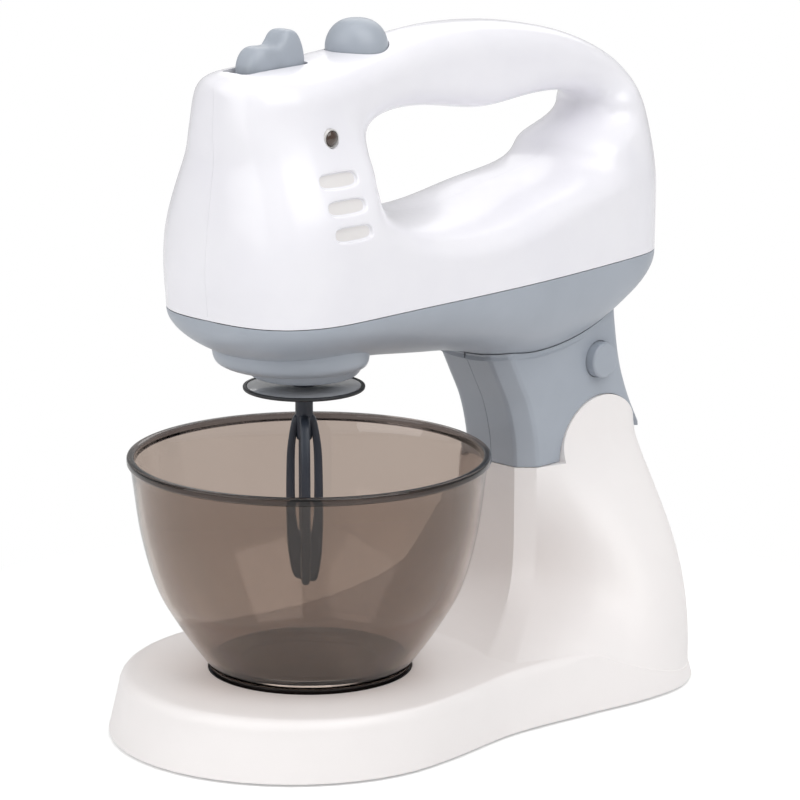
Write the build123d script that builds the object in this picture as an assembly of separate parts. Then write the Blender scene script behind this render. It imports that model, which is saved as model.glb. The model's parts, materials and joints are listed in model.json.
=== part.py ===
from build123d import *

import math
import os

# Toy stand mixer: a hand mixer with a loop handle, held in a tilting neck on a pillar stand, over a bowl.
# It is drawn in millimetres, +Z up and its nose towards -Y, about the upright axis of the bowl.
# At the end every piece is moved along Y, so that the origin lies on the ground in the middle of the box.

# Driving dimensions of the stand
front_radius = 73.0
front_centre_y = -7.5
stand_rear_y = 170.0
stand_waist_half = 67.6
stand_rear_half = 74.6
waist_y = 44.0
hip_y = 84.0
hip_spread = 3.6
ground_gap = 1.0
plateau_z = 24.0
flank_draft = 3.2
stand_wall = 2.4
plateau_round = 2.6

# Driving dimensions of the pillar
pillar_top_z = 87.0
pillar_front_y = 101.0
pillar_flat_half = 13.0
pillar_side_half = 19.6
pillar_chamfer_depth = 6.0
wing_spread = 29.0
wing_reach = 45.0
skirt_spread = 51.0
seat_bow = 10.0
flare_power = 6.5
skirt_power = 0.8
pivot_y = 145.0
pivot_z = 86.5
ear_radius = 24.4
ear_thickness = 5.0
pin_radius = 2.5
tilt_stop_z = 77.0
pillar_wall = 2.6
foot_thickening = 6.0
# Driving dimensions of the bowl and its turntable
bowl_rim_radius = 70.0
bowl_height = 85.0
bowl_foot_radius = 38.5
bowl_wall = 2.2
bowl_floor = 2.5
turntable_radius = 41.0
turntable_thickness = 1.8
turntable_sink = 0.7
turntable_ring_radius = 31.0
turntable_ring_height = 2.2
turntable_ring_width = 7.0
turntable_hub_radius = 5.0
turntable_hub_length = 13.0

# Driving dimensions of the mixer head
head_wall = 2.4
seam_z = 168.0
head_front_y = -51.5
head_rear_y = 182.0
nose_depth = 41.5
nose_power = 2.9
rear_depth = 25.0
top_depth = 15.5
round_power = 2.4
opening_depth = 16.0
opening_power = 2.3
belly_power = 2.4
snout_half_width = 26.0
grip_half_width = 15.5
opening_centre = (85.0, 217.0)
sections_per_half_turn = 22
points_per_section = 12

# Driving dimensions of the controls on the head
dome_y = 26.0
dome_radius = 12.1
dome_base_z = 261.0
dome_height = 12.7
dome_travel = 3.0
slider_front_y = -36.0
slider_length = 33.0
slider_half_width = 7.2
slider_base_z = 255.5
slider_travel = 5.0
slot_round = 3.0
vent_length = 18.8
vent_height = 5.8
vent_depth = 1.3
vent_pitch_z = 9.6
vent_pitch_y = 0.6
vent_first = (-16.0, 220.7)
vent_count = 3
lens_radius = 3.4
lens_place = (-17.4, 235.5)
lens_front_x = 27.6

# Driving dimensions of the beater drive
beater_y = -2.5
boss_radius = 25.4
boss_bottom_z = 139.0
tier_radius = 38.5
tier_bottom_z = 141.3
tier_slope = 1.1
disc_radius = 23.4
disc_z = 134.8
disc_thickness = 2.0
shank_radius = 4.2
plug_radius = 3.0
plug_length = 15.0
blade_bottom_z = 57.0
blade_top_z = 124.0
wide_loop_half = 18.0
narrow_loop_half = 7.2
blade_width = 5.0
blade_thickness = 2.2
beater_turn = 60.0
spindle_radius = 6.5
spindle_top_z = 171.5
gear_module = 1.0
spindle_teeth = 36
idler_small_teeth = 12
idler_large_teeth = 30
pinion_teeth = 12
gear_backlash = 0.34
pressure_angle = 25.0
addendum = 0.82
dedendum = 1.15
lower_gear_z = 155.0
upper_gear_z = 162.0
gear_width = 4.6
plate_thickness = 2.0
lower_plate_z = 151.0
upper_plate_z = 168.5
axle_radius = 1.5
motor_half_width = 10.0
motor_half_depth = 7.7
motor_length = 22.0
motor_shaft_radius = 1.0

# Driving dimensions of the battery box
cell_radius = 7.1
cell_length = 50.0
battery_front_y = 62.0
battery_z = 181.5
door_thickness = 2.0

# Driving dimensions of the neck
neck_wall = 2.4
neck_half = 19.6
neck_front_chamfer = 6.4
neck_rear_round = 4.0
release_y = 143.0
release_z = 126.0
release_radius = 7.3
release_stand_out = 4.2
release_travel = 3.0

# Clearances
part_gap = 0.3
running_gap = 0.05
cradle_gap = 0.4

# Screws
screw_radius = 1.4
screw_head_radius = 2.6
screw_head_height = 1.6
boss_wall = 1.8


def curve_value(points, at):
    """Height of a smooth curve through (place, value) points; past its ends the curve stays level."""
    if at <= points[0][0]:
        return points[0][1]
    if at >= points[-1][0]:
        return points[-1][1]
    slopes = []
    for i in range(len(points)):
        low = points[max(i - 1, 0)]
        high = points[min(i + 1, len(points) - 1)]
        slopes.append((high[1] - low[1]) / (high[0] - low[0]))
    for i in range(len(points) - 1):
        (x0, v0), (x1, v1) = points[i], points[i + 1]
        if at <= x1:
            span = x1 - x0
            t = (at - x0) / span
            a = (1 + 2 * t) * (1 - t) ** 2 * v0 + t * t * (3 - 2 * t) * v1
            b = t * (1 - t) ** 2 * span * slopes[i] - t * t * (1 - t) * span * slopes[i + 1]
            return a + b


def smooth_step(value, low, high):
    """0 below low, 1 above high, with a soft change between."""
    t = min(max((value - low) / (high - low), 0.0), 1.0)
    return t * t * (3 - 2 * t)


def edge_round(gap, depth, power):
    """Share of the full width at a distance inside an outline: a superellipse quarter."""
    if gap <= 0:
        return 0.0
    t = 1 - min(gap / depth, 1.0)
    return (1 - t**power) ** (1 / power)


# Side outline of the head, each line as (place, value) points of a smooth curve.
top_line = [
    (head_front_y + 1.5, seam_z + 73), (-48, 250.0), (-44, 255.2), (-37, 258.6), (-26, 259.8),
    (-8, 260.4), (10, 261.6), (dome_y, 263.4), (45, 265.9), (67, 267.7), (90, 267.0), (110, 264.5),
    (133, 259.3), (152, 252.0), (165, 244.0), (174, 234.0), (179.5, 221.0), (head_rear_y, 205.0),
]
front_line = [
    (seam_z, head_front_y), (186, head_front_y - 1.3), (201, head_front_y), (216, head_front_y + 2),
    (228, head_front_y + 3.6), (238, head_front_y + 3.3), (250, head_front_y + 4),
]
rear_line = [
    (seam_z, head_rear_y), (190, head_rear_y + 0.5), (205, head_rear_y + 0.2), (222, head_rear_y - 1),
]
belly_line = [
    (head_front_y, seam_z), (-50.3, 159.0), (-46, 152.5), (-38, 148.6), (-20, 147.0), (0, 146.0), (20, 144.6),
    (40, 142.6), (60, 140.6), (78, 137.0), (92, 133.4), (107, 131.4), (125, 132.6),
    (142, 137.0), (158, 145.0), (170, 153.5), (178, 161.0), (head_rear_y, seam_z),
]
plan_line = [
    (-40, 42.0), (-18, 42.0), (25, 40.6), (55, 40.0), (92, 38.0), (135, 33.0), (160, 29.0),
    (head_rear_y, 25.0),
]
opening_outline = [
    (147.5, 229.0), (139.0, 235.0), (122.0, 235.2), (103.0, 233.6), (80.0, 234.2), (58.0, 237.4),
    (40.0, 238.4), (27.0, 233.0), (19.5, 220.0), (23.5, 207.0), (38.0, 199.4), (62.0, 197.4),
    (88.0, 199.2), (112.0, 204.6), (133.0, 213.0), (145.0, 221.0),
]


def opening_radius(angle):
    """Reach of the handle opening from its centre in a direction: a smooth closed curve in polar form."""
    cy, cz = opening_centre
    polar = sorted((math.atan2(z - cz, y - cy), math.hypot(y - cy, z - cz)) for y, z in opening_outline)
    before = (polar[-1][0] - 2 * math.pi, polar[-1][1])
    after = (polar[0][0] + 2 * math.pi, polar[0][1])
    earlier = (polar[-2][0] - 2 * math.pi, polar[-2][1])
    later = (polar[1][0] + 2 * math.pi, polar[1][1])
    return curve_value([earlier, before] + polar + [after, later], angle)


def opening_loop(count):
    """Points along the handle opening's outline."""
    cy, cz = opening_centre
    angles = [-math.pi + 2 * math.pi * i / count for i in range(count)]
    return [(cy + opening_radius(a) * math.cos(a), cz + opening_radius(a) * math.sin(a)) for a in angles]


opening_points = opening_loop(160)


def opening_distance(y, z):
    """Distance from the handle opening's outline, negative inside it."""
    best = 1e9
    py, pz = opening_points[-1]
    for qy, qz in opening_points:
        dy, dz = qy - py, qz - pz
        t = min(max(((y - py) * dy + (z - pz) * dz) / (dy * dy + dz * dz), 0.0), 1.0)
        best = min(best, math.hypot(y - py - t * dy, z - pz - t * dz))
        py, pz = qy, qz
    away_y, away_z = y - opening_centre[0], z - opening_centre[1]
    inside = math.hypot(away_y, away_z) < opening_radius(math.atan2(away_z, away_y))
    return -best if inside else best


def outline_gaps(y, z):
    """Distances inside the head's side outline: from the front, the top, the rear and the belly."""
    return (
        y - curve_value(front_line, z),
        curve_value(top_line, y) - z,
        curve_value(rear_line, z) - y,
        z - curve_value(belly_line, y),
    )


def full_half_width(y, z):
    """Half width of the head away from its rounded edges: wide at the seam, narrow along the grip."""
    top = grip_half_width + (snout_half_width - grip_half_width) * (1 - smooth_step(y, -25, 60))
    plan = curve_value(plan_line, y)
    return top + (plan - top) * (1 - smooth_step(z, 194, 250))


def half_width(y, z, inset):
    """Half width of the head at a place in its side view, inset from its skin."""
    front, top, rear, belly = [gap - inset for gap in outline_gaps(y, z)]
    width = full_half_width(y, z) - inset
    width *= edge_round(front, nose_depth - inset, nose_power)
    width *= edge_round(top, top_depth - inset, round_power)
    width *= edge_round(rear, rear_depth - inset, round_power)
    if z < seam_z:
        depth = seam_z - curve_value(belly_line, y) - inset
        width *= edge_round(belly, max(depth, 0.1), belly_power)
    hole = opening_distance(y, z) - inset
    return width * edge_round(hole, opening_depth - inset, opening_power)


def ray_reach(angle, inset):
    """Near and far ends of the head along a ray from the handle opening's centre."""
    cy, cz = opening_centre

    def at(radius):
        return cy + radius * math.cos(angle), cz + radius * math.sin(angle)

    near, far = 0.0, 60.0 / max(abs(math.cos(angle)), 0.75) + 10
    for _ in range(22):
        middle = (near + far) / 2
        if opening_distance(*at(middle)) > inset:
            far = middle
        else:
            near = middle
    start = far
    low, high = start + 1, 190.0
    for _ in range(22):
        middle = (low + high) / 2
        if min(outline_gaps(*at(middle))) > inset:
            low = middle
        else:
            high = middle
    return start, low


def head_section(angle, inset):
    """Half section of the head in the plane of a ray: its skin as a spline, closed along the middle plane."""
    cy, cz = opening_centre
    start, end = ray_reach(angle, inset)
    points = []
    for k in range(points_per_section + 1):
        radius = start + (end - start) * (1 - math.cos(math.pi * k / points_per_section)) / 2
        y = cy + radius * math.cos(angle)
        z = cz + radius * math.sin(angle)
        x = 0.0 if k in (0, points_per_section) else half_width(y, z, inset)
        points.append(Vector(x, y, z))
    skin = Edge.make_spline(points, tangents=[Vector(1, 0, 0), Vector(-1, 0, 0)])
    middle = Edge.make_line(points[-1], points[0])
    return Wire([skin, middle])


def head_half(inset):
    """Right half of the whole head as a solid ring round the handle opening, inset from its skin."""
    ring = None
    for start in (-0.15, 0.85):
        angles = [math.pi * (start + k / sections_per_half_turn) for k in range(sections_per_half_turn + 1)]
        piece = Solid.make_loft([head_section(a, inset) for a in angles], ruled=True)
        ring = piece if ring is None else ring.fuse(piece)
    return ring


def block(x0, x1, y0, y1, z0, z1):
    """Box between two corners."""
    return Pos((x0 + x1) / 2, (y0 + y1) / 2, (z0 + z1) / 2) * Box(abs(x1 - x0), abs(y1 - y0), abs(z1 - z0))


def rod_z(radius, x, y, z0, z1):
    """Upright cylinder."""
    return Pos(x, y, (z0 + z1) / 2) * Cylinder(radius, abs(z1 - z0))


def rod_x(radius, x0, x1, y, z):
    """Cylinder along X."""
    return Pos((x0 + x1) / 2, y, z) * Rot(0, 90, 0) * Cylinder(radius, abs(x1 - x0))


def tube_z(outer, inner, x, y, z0, z1):
    """Upright tube."""
    return rod_z(outer, x, y, z0, z1) - rod_z(inner, x, y, z0 - 1, z1 + 1)


def turned(points, x, y):
    """Solid of revolution about an upright axis from (radius, height) corners."""
    face = Plane.XZ * make_face(Polyline(*points, close=True))
    return Pos(x, y, 0) * revolve(face, Axis.Z)


def mirrored(shape):
    """The same shape on the other side of the middle plane."""
    return mirror(shape, about=Plane.YZ)


def solid_of(shape):
    """One solid or several as a single compound for export."""
    solids = shape.solids()
    return solids[0] if len(solids) == 1 else Compound(list(solids))


# Stand


def stand_outline(inset):
    """Plan of the stand: a round front under the bowl, a waist, and a wide round rear."""
    r = front_radius - inset
    waist = stand_waist_half - inset
    rear = stand_rear_half - inset
    back = stand_rear_y - inset
    right = [
        (r * 0.985, front_centre_y + 12),
        (waist, waist_y),
        (waist + hip_spread, hip_y),
        (rear, stand_rear_y - 54),
        (rear * 0.955, stand_rear_y - 31),
        (rear * 0.78, (back + stand_rear_y - 24) / 2),
        (rear * 0.42, back - 3.4),
    ]
    left = [(-x, y) for x, y in reversed(right)]
    start = (r * 0.985, front_centre_y + 12)
    front = ThreePointArc((-start[0], start[1]), (0, front_centre_y - r), start)
    sides = Spline(*(right + [(0, back)] + left))
    return Wire([front.edge(), sides.edge()])


def stand_level(inset, z):
    """The stand's plan as a wire at a height."""
    return Pos(0, 0, z) * stand_outline(inset)


def pillar_section(z, inset):
    """Plan of the pillar at a height: flat front, chamfered corners, sides that flare to a round rear."""
    share = (pillar_top_z - z) / (pillar_top_z - plateau_z)
    share = min(max(share, 0.0), 1.0)
    wing = share**flare_power
    skirt = share**skirt_power
    cut = inset * 0.45
    flat_x = pillar_flat_half + wing_spread * wing - cut
    flat_y = pillar_front_y - wing_reach * wing + inset
    bow = wing * seat_bow
    corner_x = pillar_side_half + (wing_spread + 7) * wing - inset
    corner_y = pillar_front_y + pillar_chamfer_depth - (wing_reach + 5) * wing + cut
    side_x = pillar_side_half + 0.9 + skirt_spread * skirt - inset
    side_y = 148 - 26 * share
    back = stand_rear_y - inset
    hold = 0.86 - 0.06 * share
    middle_x = corner_x + (side_x - corner_x) * 0.62
    middle_y = corner_y + (side_y - corner_y) * 0.44
    rear_x = side_x * hold
    rear_y = side_y + (back - side_y) * hold
    if wing < 0.004:
        front = Line((-flat_x, flat_y, z), (flat_x, flat_y, z))
    else:
        front = ThreePointArc((-flat_x, flat_y, z), (0, flat_y + bow, z), (flat_x, flat_y, z))
    chamfer = Line((flat_x, flat_y, z), (corner_x, corner_y, z))
    flank = [(corner_x, corner_y, z), (middle_x, middle_y, z), (side_x, side_y, z), (rear_x, rear_y, z)]
    other = [(-x, y, h) for x, y, h in reversed(flank)]
    rear = Spline(*(flank + [(0, back, z)] + other))
    chamfer_left = Line((-corner_x, corner_y, z), (-flat_x, flat_y, z))
    return Wire([front.edge(), chamfer.edge(), rear.edge(), chamfer_left.edge()])


def pillar_loft(top_z, bottom_z, inset, foot_inset):
    """The pillar as a stack of plans, with a further inset that grows towards its foot."""
    steps = [1.5, 4, 7.5, 12, 18, 27, 40]
    heights = [bottom_z] + [plateau_z + step for step in steps] + [top_z - 8, top_z]
    sections = []
    for height in heights:
        share = min((pillar_top_z - height) / (pillar_top_z - plateau_z), 1.0)
        sections.append(pillar_section(height, inset + foot_inset * share**4))
    return Solid.make_loft(sections, ruled=True)


# Pads and screws of the base, each measured from the edge that it lies near
front_pad_x = front_radius - 29.0
front_pad_y = front_centre_y - 30.5
rear_pad_x = stand_rear_half - 16.6
rear_pad_y = stand_rear_y - 42.0
foot_places = [
    (-front_pad_x, front_pad_y), (front_pad_x, front_pad_y), (-rear_pad_x, rear_pad_y), (rear_pad_x, rear_pad_y),
]
front_screw_x = front_radius - 17.0
front_screw_y = front_centre_y + 15.5
rear_screw_x = stand_rear_half - 6.1
rear_screw_y = stand_rear_y - 52.0
base_screw_places = [
    (-front_screw_x, front_screw_y), (front_screw_x, front_screw_y),
    (-rear_screw_x, rear_screw_y), (rear_screw_x, rear_screw_y), (0, stand_rear_y - 12),
]
rim_z = plateau_z - turntable_sink


def base_shell():
    """White stand: hollow base and pillar in one moulding, with ears for the neck's pivot."""
    flank = Solid.make_loft([stand_level(0, ground_gap), stand_level(flank_draft, plateau_z)], ruled=True)
    flank = fillet(flank.faces().sort_by(Axis.Z)[-1].edges(), plateau_round)
    inner_flank = Solid.make_loft(
        [
            stand_level(stand_wall, ground_gap - 1),
            stand_level(flank_draft + stand_wall, plateau_z - stand_wall),
        ],
        ruled=True,
    )
    pillar = pillar_loft(pillar_top_z, plateau_z - 2, 0, 0)
    hollow = pillar_loft(pillar_top_z - stand_wall, plateau_z - stand_wall - 3, pillar_wall, foot_thickening)
    outer = flank + pillar
    ear_inner = pillar_side_half - ear_thickness
    for side in (1, -1):
        ear = rod_x(ear_radius, side * ear_inner, side * pillar_side_half, pivot_y, pivot_z)
        ear -= block(-40, 40, pivot_y - 60, pivot_y + 60, 0, pillar_top_z - stand_wall - 6)
        outer += ear
    recess_radius = turntable_radius + part_gap * 1.4
    seat_z = rim_z - turntable_thickness - part_gap
    seat_floor = seat_z - stand_wall
    shell = outer - inner_flank - hollow
    shell += rod_z(recess_radius + stand_wall, 0, 0, seat_floor, plateau_z - 0.5)
    shell -= rod_z(recess_radius, 0, 0, seat_z, plateau_z + 5)
    hub_bottom = rim_z - turntable_thickness - turntable_hub_length + 1 + part_gap
    shell += rod_z(turntable_hub_radius + 3.5, 0, 0, hub_bottom, seat_floor + 1)
    shell -= rod_z(turntable_hub_radius + running_gap, 0, 0, 0, plateau_z)
    well_half = ear_inner
    shell -= block(-well_half, well_half, pivot_y - ear_radius - 2, 200, tilt_stop_z - 3, pillar_top_z + 40)
    sweep = rod_x(ear_radius + 3.0, -pillar_side_half - 0.4, pillar_side_half + 0.4, pivot_y, pivot_z)
    sweep -= rod_x(ear_radius, -40, 40, pivot_y, pivot_z)
    sweep &= block(-40, 40, pivot_y, pivot_y + 60, tilt_stop_z, pillar_top_z + 40)
    shell -= sweep
    pin_end = pillar_side_half - 1.6
    shell -= rod_x(pin_radius + running_gap, -pillar_side_half - 2, pin_end + running_gap, pivot_y, pivot_z)
    cap_seat = -pillar_side_half + 1.6
    shell -= rod_x(pin_radius + 1.5 + part_gap, -pillar_side_half - 2, cap_seat, pivot_y, pivot_z)
    boss_bottom = ground_gap + 2.6
    for x, y in base_screw_places:
        top = plateau_z - stand_wall + 0.5 if abs(x) > 1 else plateau_z + 6
        shell += rod_z(screw_radius + boss_wall, x, y, boss_bottom, top)
        shell -= rod_z(screw_radius + running_gap, x, y, boss_bottom - 1, boss_bottom + 9)
    rear_web = block(-1, 1, 160.5, stand_rear_y - 1, boss_bottom + 1, plateau_z + 6)
    return shell + rear_web


def bottom_cover():
    """Flat plate that closes the underside of the stand, inside its rim."""
    inset = stand_wall + part_gap + 0.3
    low, high = ground_gap + 0.2, ground_gap + 2.6
    plate = Solid.make_loft([stand_level(inset, low), stand_level(inset + 0.3, high)], ruled=True)
    for x, y in base_screw_places:
        plate -= rod_z(screw_radius + part_gap, x, y, 0, high + 1)
        plate -= rod_z(screw_head_radius + part_gap, x, y, 0, low + screw_head_height)
    return plate


def rubber_feet():
    """Four pads under the cover, standing out just past the rim."""
    top = ground_gap + 0.2
    return [rod_z(7.0, x, y, 0, top) for x, y in foot_places]


def base_screws():
    """Screws from below through the cover into the stand."""
    low = ground_gap + 0.2
    screws = []
    for x, y in base_screw_places:
        head = rod_z(screw_head_radius, x, y, low, low + screw_head_height)
        screws.append(head + rod_z(screw_radius, x, y, low + screw_head_height, low + 10))
    return screws


def pivot_pin():
    """Steel pin through both ears and the neck's hub."""
    end = pillar_side_half - 1.6
    return rod_x(pin_radius, -end, end, pivot_y, pivot_z)


def pivot_cap():
    """White plug over the pin's end in the left ear."""
    end = pillar_side_half - 1.6
    return rod_x(pin_radius + 1.5, -pillar_side_half, -end, pivot_y, pivot_z)


# Bowl and turntable


def turntable():
    """Dark carrier that turns in the stand's recess, with a ring that centres the bowl's foot."""
    top = rim_z
    low = top - turntable_thickness
    plate = rod_z(turntable_radius, 0, 0, low, top)
    outer = turntable_ring_radius
    ring = tube_z(outer, outer - turntable_ring_width, 0, 0, top, top + turntable_ring_height)
    hub = rod_z(turntable_hub_radius, 0, 0, low - turntable_hub_length + 1, low)
    hole = rod_z(screw_radius, 0, 0, low - turntable_hub_length, low - 2)
    return plate + ring + hub - hole


def turntable_washer():
    """Retaining washer under the turntable's hub."""
    low = rim_z - turntable_thickness - turntable_hub_length + 1
    return tube_z(turntable_hub_radius + 3.5, screw_radius + running_gap, 0, 0, low - 1.2, low)


def turntable_screw():
    """Screw that holds the washer."""
    low = rim_z - turntable_thickness - turntable_hub_length + 1 - 1.2
    head = rod_z(screw_head_radius, 0, 0, low - screw_head_height, low)
    return head + rod_z(screw_radius, 0, 0, low, low + 8)


def mixing_bowl():
    """Deep transparent bowl with a rolled lip and a short foot ring that fits round the turntable's ring."""
    foot_z = rim_z + part_gap
    top = foot_z + bowl_height
    r, w = bowl_rim_radius, bowl_wall
    foot = bowl_foot_radius
    lip = 1.8
    outside = [
        (foot, foot_z), (foot + 0.5, foot_z + 2.4), (50.9, foot_z + 18.8), (58.9, foot_z + 33),
        (64.8, foot_z + 54), (r - lip, top - 7),
    ]
    ring_inner = turntable_ring_radius + part_gap * 2
    ring_top = rim_z + turntable_ring_height + part_gap
    with BuildPart() as part:
        with BuildSketch(Plane.XZ):
            with BuildLine():
                Line((0, ring_top), (ring_inner, ring_top))
                Line((ring_inner, ring_top), (ring_inner, foot_z))
                Line((ring_inner, foot_z), outside[0])
                Line(outside[0], outside[1])
                Spline(*outside[1:])
                Line(outside[-1], (r - 0.6, top - 3.4))
                ThreePointArc((r - 0.6, top - 3.4), (r, top - 1.4), (r - 1.4, top))
                Line((r - 1.4, top), (r - w - 0.8, top))
                Line((r - w - 0.8, top), (r - lip - w, top - 7))
                Spline(
                    (r - lip - w, top - 7),
                    (64.8 - w, foot_z + 54),
                    (58.9 - w * 1.12, foot_z + 33.4),
                    (50.9 - w * 1.3, foot_z + 19.6),
                    (foot - 3, ring_top + bowl_floor),
                )
                Line((foot - 3, ring_top + bowl_floor), (0, ring_top + bowl_floor))
                Line((0, ring_top + bowl_floor), (0, ring_top))
            make_face()
        revolve(axis=Axis.Z)
    return part.part


# Neck


neck_outline = [
    (pillar_front_y + 0.3, pillar_top_z + part_gap), (100.2, 99), (96.4, 113), (90.4, 125), (85.0, 136),
    (80.5, 150),
]
neck_rear = [(153.5, 156), (155.0, 140), (158.0, 123), (163.0, 109), (170.0, 95.5)]


def neck_profile(inset):
    """Side view of the neck: a forward-curving front, a rear that leans in, and an arch round the ears."""
    front = [(y + inset, z) for y, z in neck_outline]
    rear = [(y - inset, z) for y, z in neck_rear]
    bottom_z = pillar_top_z + part_gap
    with BuildSketch(Plane.YZ) as sketch:
        with BuildLine():
            Spline(*front)
            Line(front[-1], rear[0])
            Spline(*rear)
            Line(rear[-1], (rear[-1][0], bottom_z))
            Line((rear[-1][0], bottom_z), front[0])
        make_face()
    return sketch.sketch.face()


def neck_half_solid(cradle):
    """Right half of the neck as a hollow shell with the pivot hub, cut to the belly that it cradles."""
    blank = Solid.extrude(neck_profile(0), Vector(neck_half, 0, 0))
    side = blank.faces().sort_by(Axis.X)[-1]
    front_edges = [e for e in side.edges() if e.center().Y < 100 and e.bounding_box().size.Z > 30]
    blank = chamfer(front_edges, neck_front_chamfer)
    inside = Solid.extrude(neck_profile(neck_wall), Vector(neck_half - neck_wall, 0, 0))
    inside -= block(-1, 40, 60, pivot_y - ear_radius, 0, pillar_top_z + part_gap + 2.0)
    shell = blank - inside
    arch = rod_x(ear_radius + part_gap, -1, 40, pivot_y, pivot_z)
    shell -= arch
    shell -= block(-1, 40, pivot_y, 200, 0, pivot_z + 7.5)
    hub_half = pillar_side_half - ear_thickness - part_gap
    arm = block(hub_half - 3, hub_half, pivot_y - 10, pivot_y + 10, pivot_z, pivot_z + 30)
    reach = neck_half - neck_wall + 0.5
    arm += block(hub_half - 3, reach, pivot_y - 10, pivot_y + 10, pivot_z + 26, pivot_z + 30)
    hub = rod_x(9.0, 0, hub_half, pivot_y, pivot_z)
    arm += hub
    shell += arm
    shell -= rod_x(pin_radius + running_gap, -1, 30, pivot_y, pivot_z)
    return shell - cradle


def neck_right(half):
    """Right neck half, with the hole for the release button."""
    start = neck_half - neck_wall - 3
    return half - rod_x(release_radius + part_gap, start, neck_half + 5, release_y, release_z)


def neck_left(half):
    """Left neck half, with the post that guides the release button's stem and carries its spring."""
    left = mirrored(half)
    post_end = 3.0
    post = rod_x(5.4, -neck_half + 1, post_end, release_y, release_z)
    left += post
    left -= rod_x(3.0 + part_gap, -8, post_end + 1, release_y, release_z)
    return left


neck_screw_places = [(106.0, 97.0), (104.0, 118.0), (151.5, 115.8)]


def neck_with_bosses(half, side):
    """Adds the screw bosses of one neck half."""
    bosses = half
    for y, z in neck_screw_places:
        boss = rod_x(screw_radius + boss_wall, 0, side * (neck_half - 1), y, z)
        bosses += boss
        if side > 0:
            bosses -= rod_x(screw_radius + running_gap, -1, 9, y, z)
        else:
            bosses -= rod_x(screw_radius + part_gap, -30, 1, y, z)
            bosses -= rod_x(screw_head_radius + part_gap, -30, -neck_half + 5 + screw_head_height, y, z)
    return bosses


def neck_screws():
    """Screws that join the neck halves, with their heads sunk in the left half."""
    screws = []
    for y, z in neck_screw_places:
        seat = -neck_half + 5 + screw_head_height
        head = rod_x(screw_head_radius, seat - screw_head_height, seat, y, z)
        screws.append(head + rod_x(screw_radius, seat, 7, y, z))
    return screws


def release_button():
    """Round button on the neck's right side, with a flange behind the wall and a guide stem."""
    face = neck_half + release_stand_out
    behind = neck_half - neck_wall - part_gap
    cap = rod_x(release_radius, behind - 1.6, face, release_y, release_z)
    cap = fillet(cap.faces().sort_by(Axis.X)[-1].edges(), 1.2)
    flange = rod_x(release_radius + 1.6, behind - 1.6, behind, release_y, release_z)
    stem = rod_x(3.0, 0.5, behind - 1.6, release_y, release_z)
    return cap + flange + stem


def release_spring():
    """Spring between the guide post and the button's flange."""
    behind = neck_half - neck_wall - part_gap - 1.6
    start = 3.0
    end = behind - release_travel - part_gap
    hollow = rod_x(3.0 + part_gap, start - 1, end + 1, release_y, release_z)
    return rod_x(4.6, start, end, release_y, release_z) - hollow


# Mixer head


def head_pieces():
    """White right and left shells and the grey lower cover, split from the head at its middle and seam."""
    outer = head_half(0)
    inner = head_half(head_wall)
    walls = outer - inner
    above = block(-1, 60, -80, 220, seam_z, 300)
    below = block(-1, 60, -80, 220, 100, seam_z)
    return outer, inner, walls & above, walls & below


head_screw_places = [(-34.0, 180.0), (8.0, 232.0), (92.0, 251.0), (166.0, 205.0), (132.0, 182.0)]


def screw_bosses(shell, filled, side):
    """Adds bosses along X to a shell half, trimmed to the head's skin, with pilot or clearance holes."""
    for y, z in head_screw_places:
        boss = rod_x(screw_radius + boss_wall, 0, side * 60, y, z) & filled
        shell += boss
        skin = abs(boss.bounding_box().max.X if side > 0 else boss.bounding_box().min.X)
        if side > 0:
            shell -= rod_x(screw_radius + running_gap, -1, 8, y, z)
        else:
            shell -= rod_x(screw_radius + part_gap, -skin - 2, 1, y, z)
            shell -= rod_x(screw_head_radius + part_gap, -skin - 2, -screw_seat(y, z), y, z)
    return shell


def screw_seat(y, z):
    """Distance from the middle plane to the seat under a head screw's head."""
    return half_width(y, z, 0) - 4.0


def head_screws():
    """Screws that join the head shells, with their heads sunk in the left shell."""
    screws = []
    for y, z in head_screw_places:
        seat = -screw_seat(y, z)
        head = rod_x(screw_head_radius, seat - screw_head_height, seat, y, z)
        screws.append(head + rod_x(screw_radius, seat, 7, y, z))
    return screws


def vent_cutters():
    """Three level slots with round ends, one above another."""
    cutters = []
    for i in range(vent_count):
        y = vent_first[0] + vent_pitch_y * i
        z = vent_first[1] - vent_pitch_z * i
        outline = Plane.YZ * SlotOverall(vent_length, vent_height)
        cutters.append(Pos(0, y, z) * Solid.extrude(outline.face(), Vector(60, 0, 0)))
    return cutters


def control_openings():
    """The slider's slot and the dome button's hole through the top of the head."""
    rear = slider_front_y + slider_length + part_gap
    front = slider_front_y - slider_travel - part_gap
    half = slider_half_width + part_gap
    slot = block(-half, half, front, rear, slider_base_z - 4, 290)
    slot = fillet(slot.edges().filter_by(Axis.Z), slot_round)
    dome = rod_z(dome_radius + part_gap, 0, dome_y, dome_base_z - 10, 290)
    return slot + dome


def shell_right(walls, outer):
    """White right shell with the vents, the lens hole and the control openings."""
    shell = screw_bosses(walls, outer, 1)
    thin = head_half(vent_depth)
    for cutter in vent_cutters():
        shell -= cutter - thin
    y, z = lens_place
    shell -= rod_x(lens_radius + part_gap, 10, 60, y, z)
    return shell - control_openings()


battery_y1 = battery_front_y + cell_length + 4
door_box = (battery_front_y - 2, battery_y1 + 2, battery_z - 9.5, battery_z + 9.5)


def door_block(grow):
    """Block that the battery door's outline cuts through the left side."""
    y0, y1, z0, z1 = door_box
    shape = block(-60, -18, y0 - grow, y1 + grow, z0 - grow, z1 + grow)
    return fillet(shape.edges().filter_by(Axis.X), 3.0)


def shell_left(walls, outer):
    """White left shell with the battery door's opening and the control openings."""
    shell = screw_bosses(mirrored(walls), mirrored(outer), -1)
    for cutter in vent_cutters():
        shell -= mirrored(cutter) - mirrored(head_half(vent_depth))
    return shell - door_block(part_gap) - control_openings()


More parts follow.
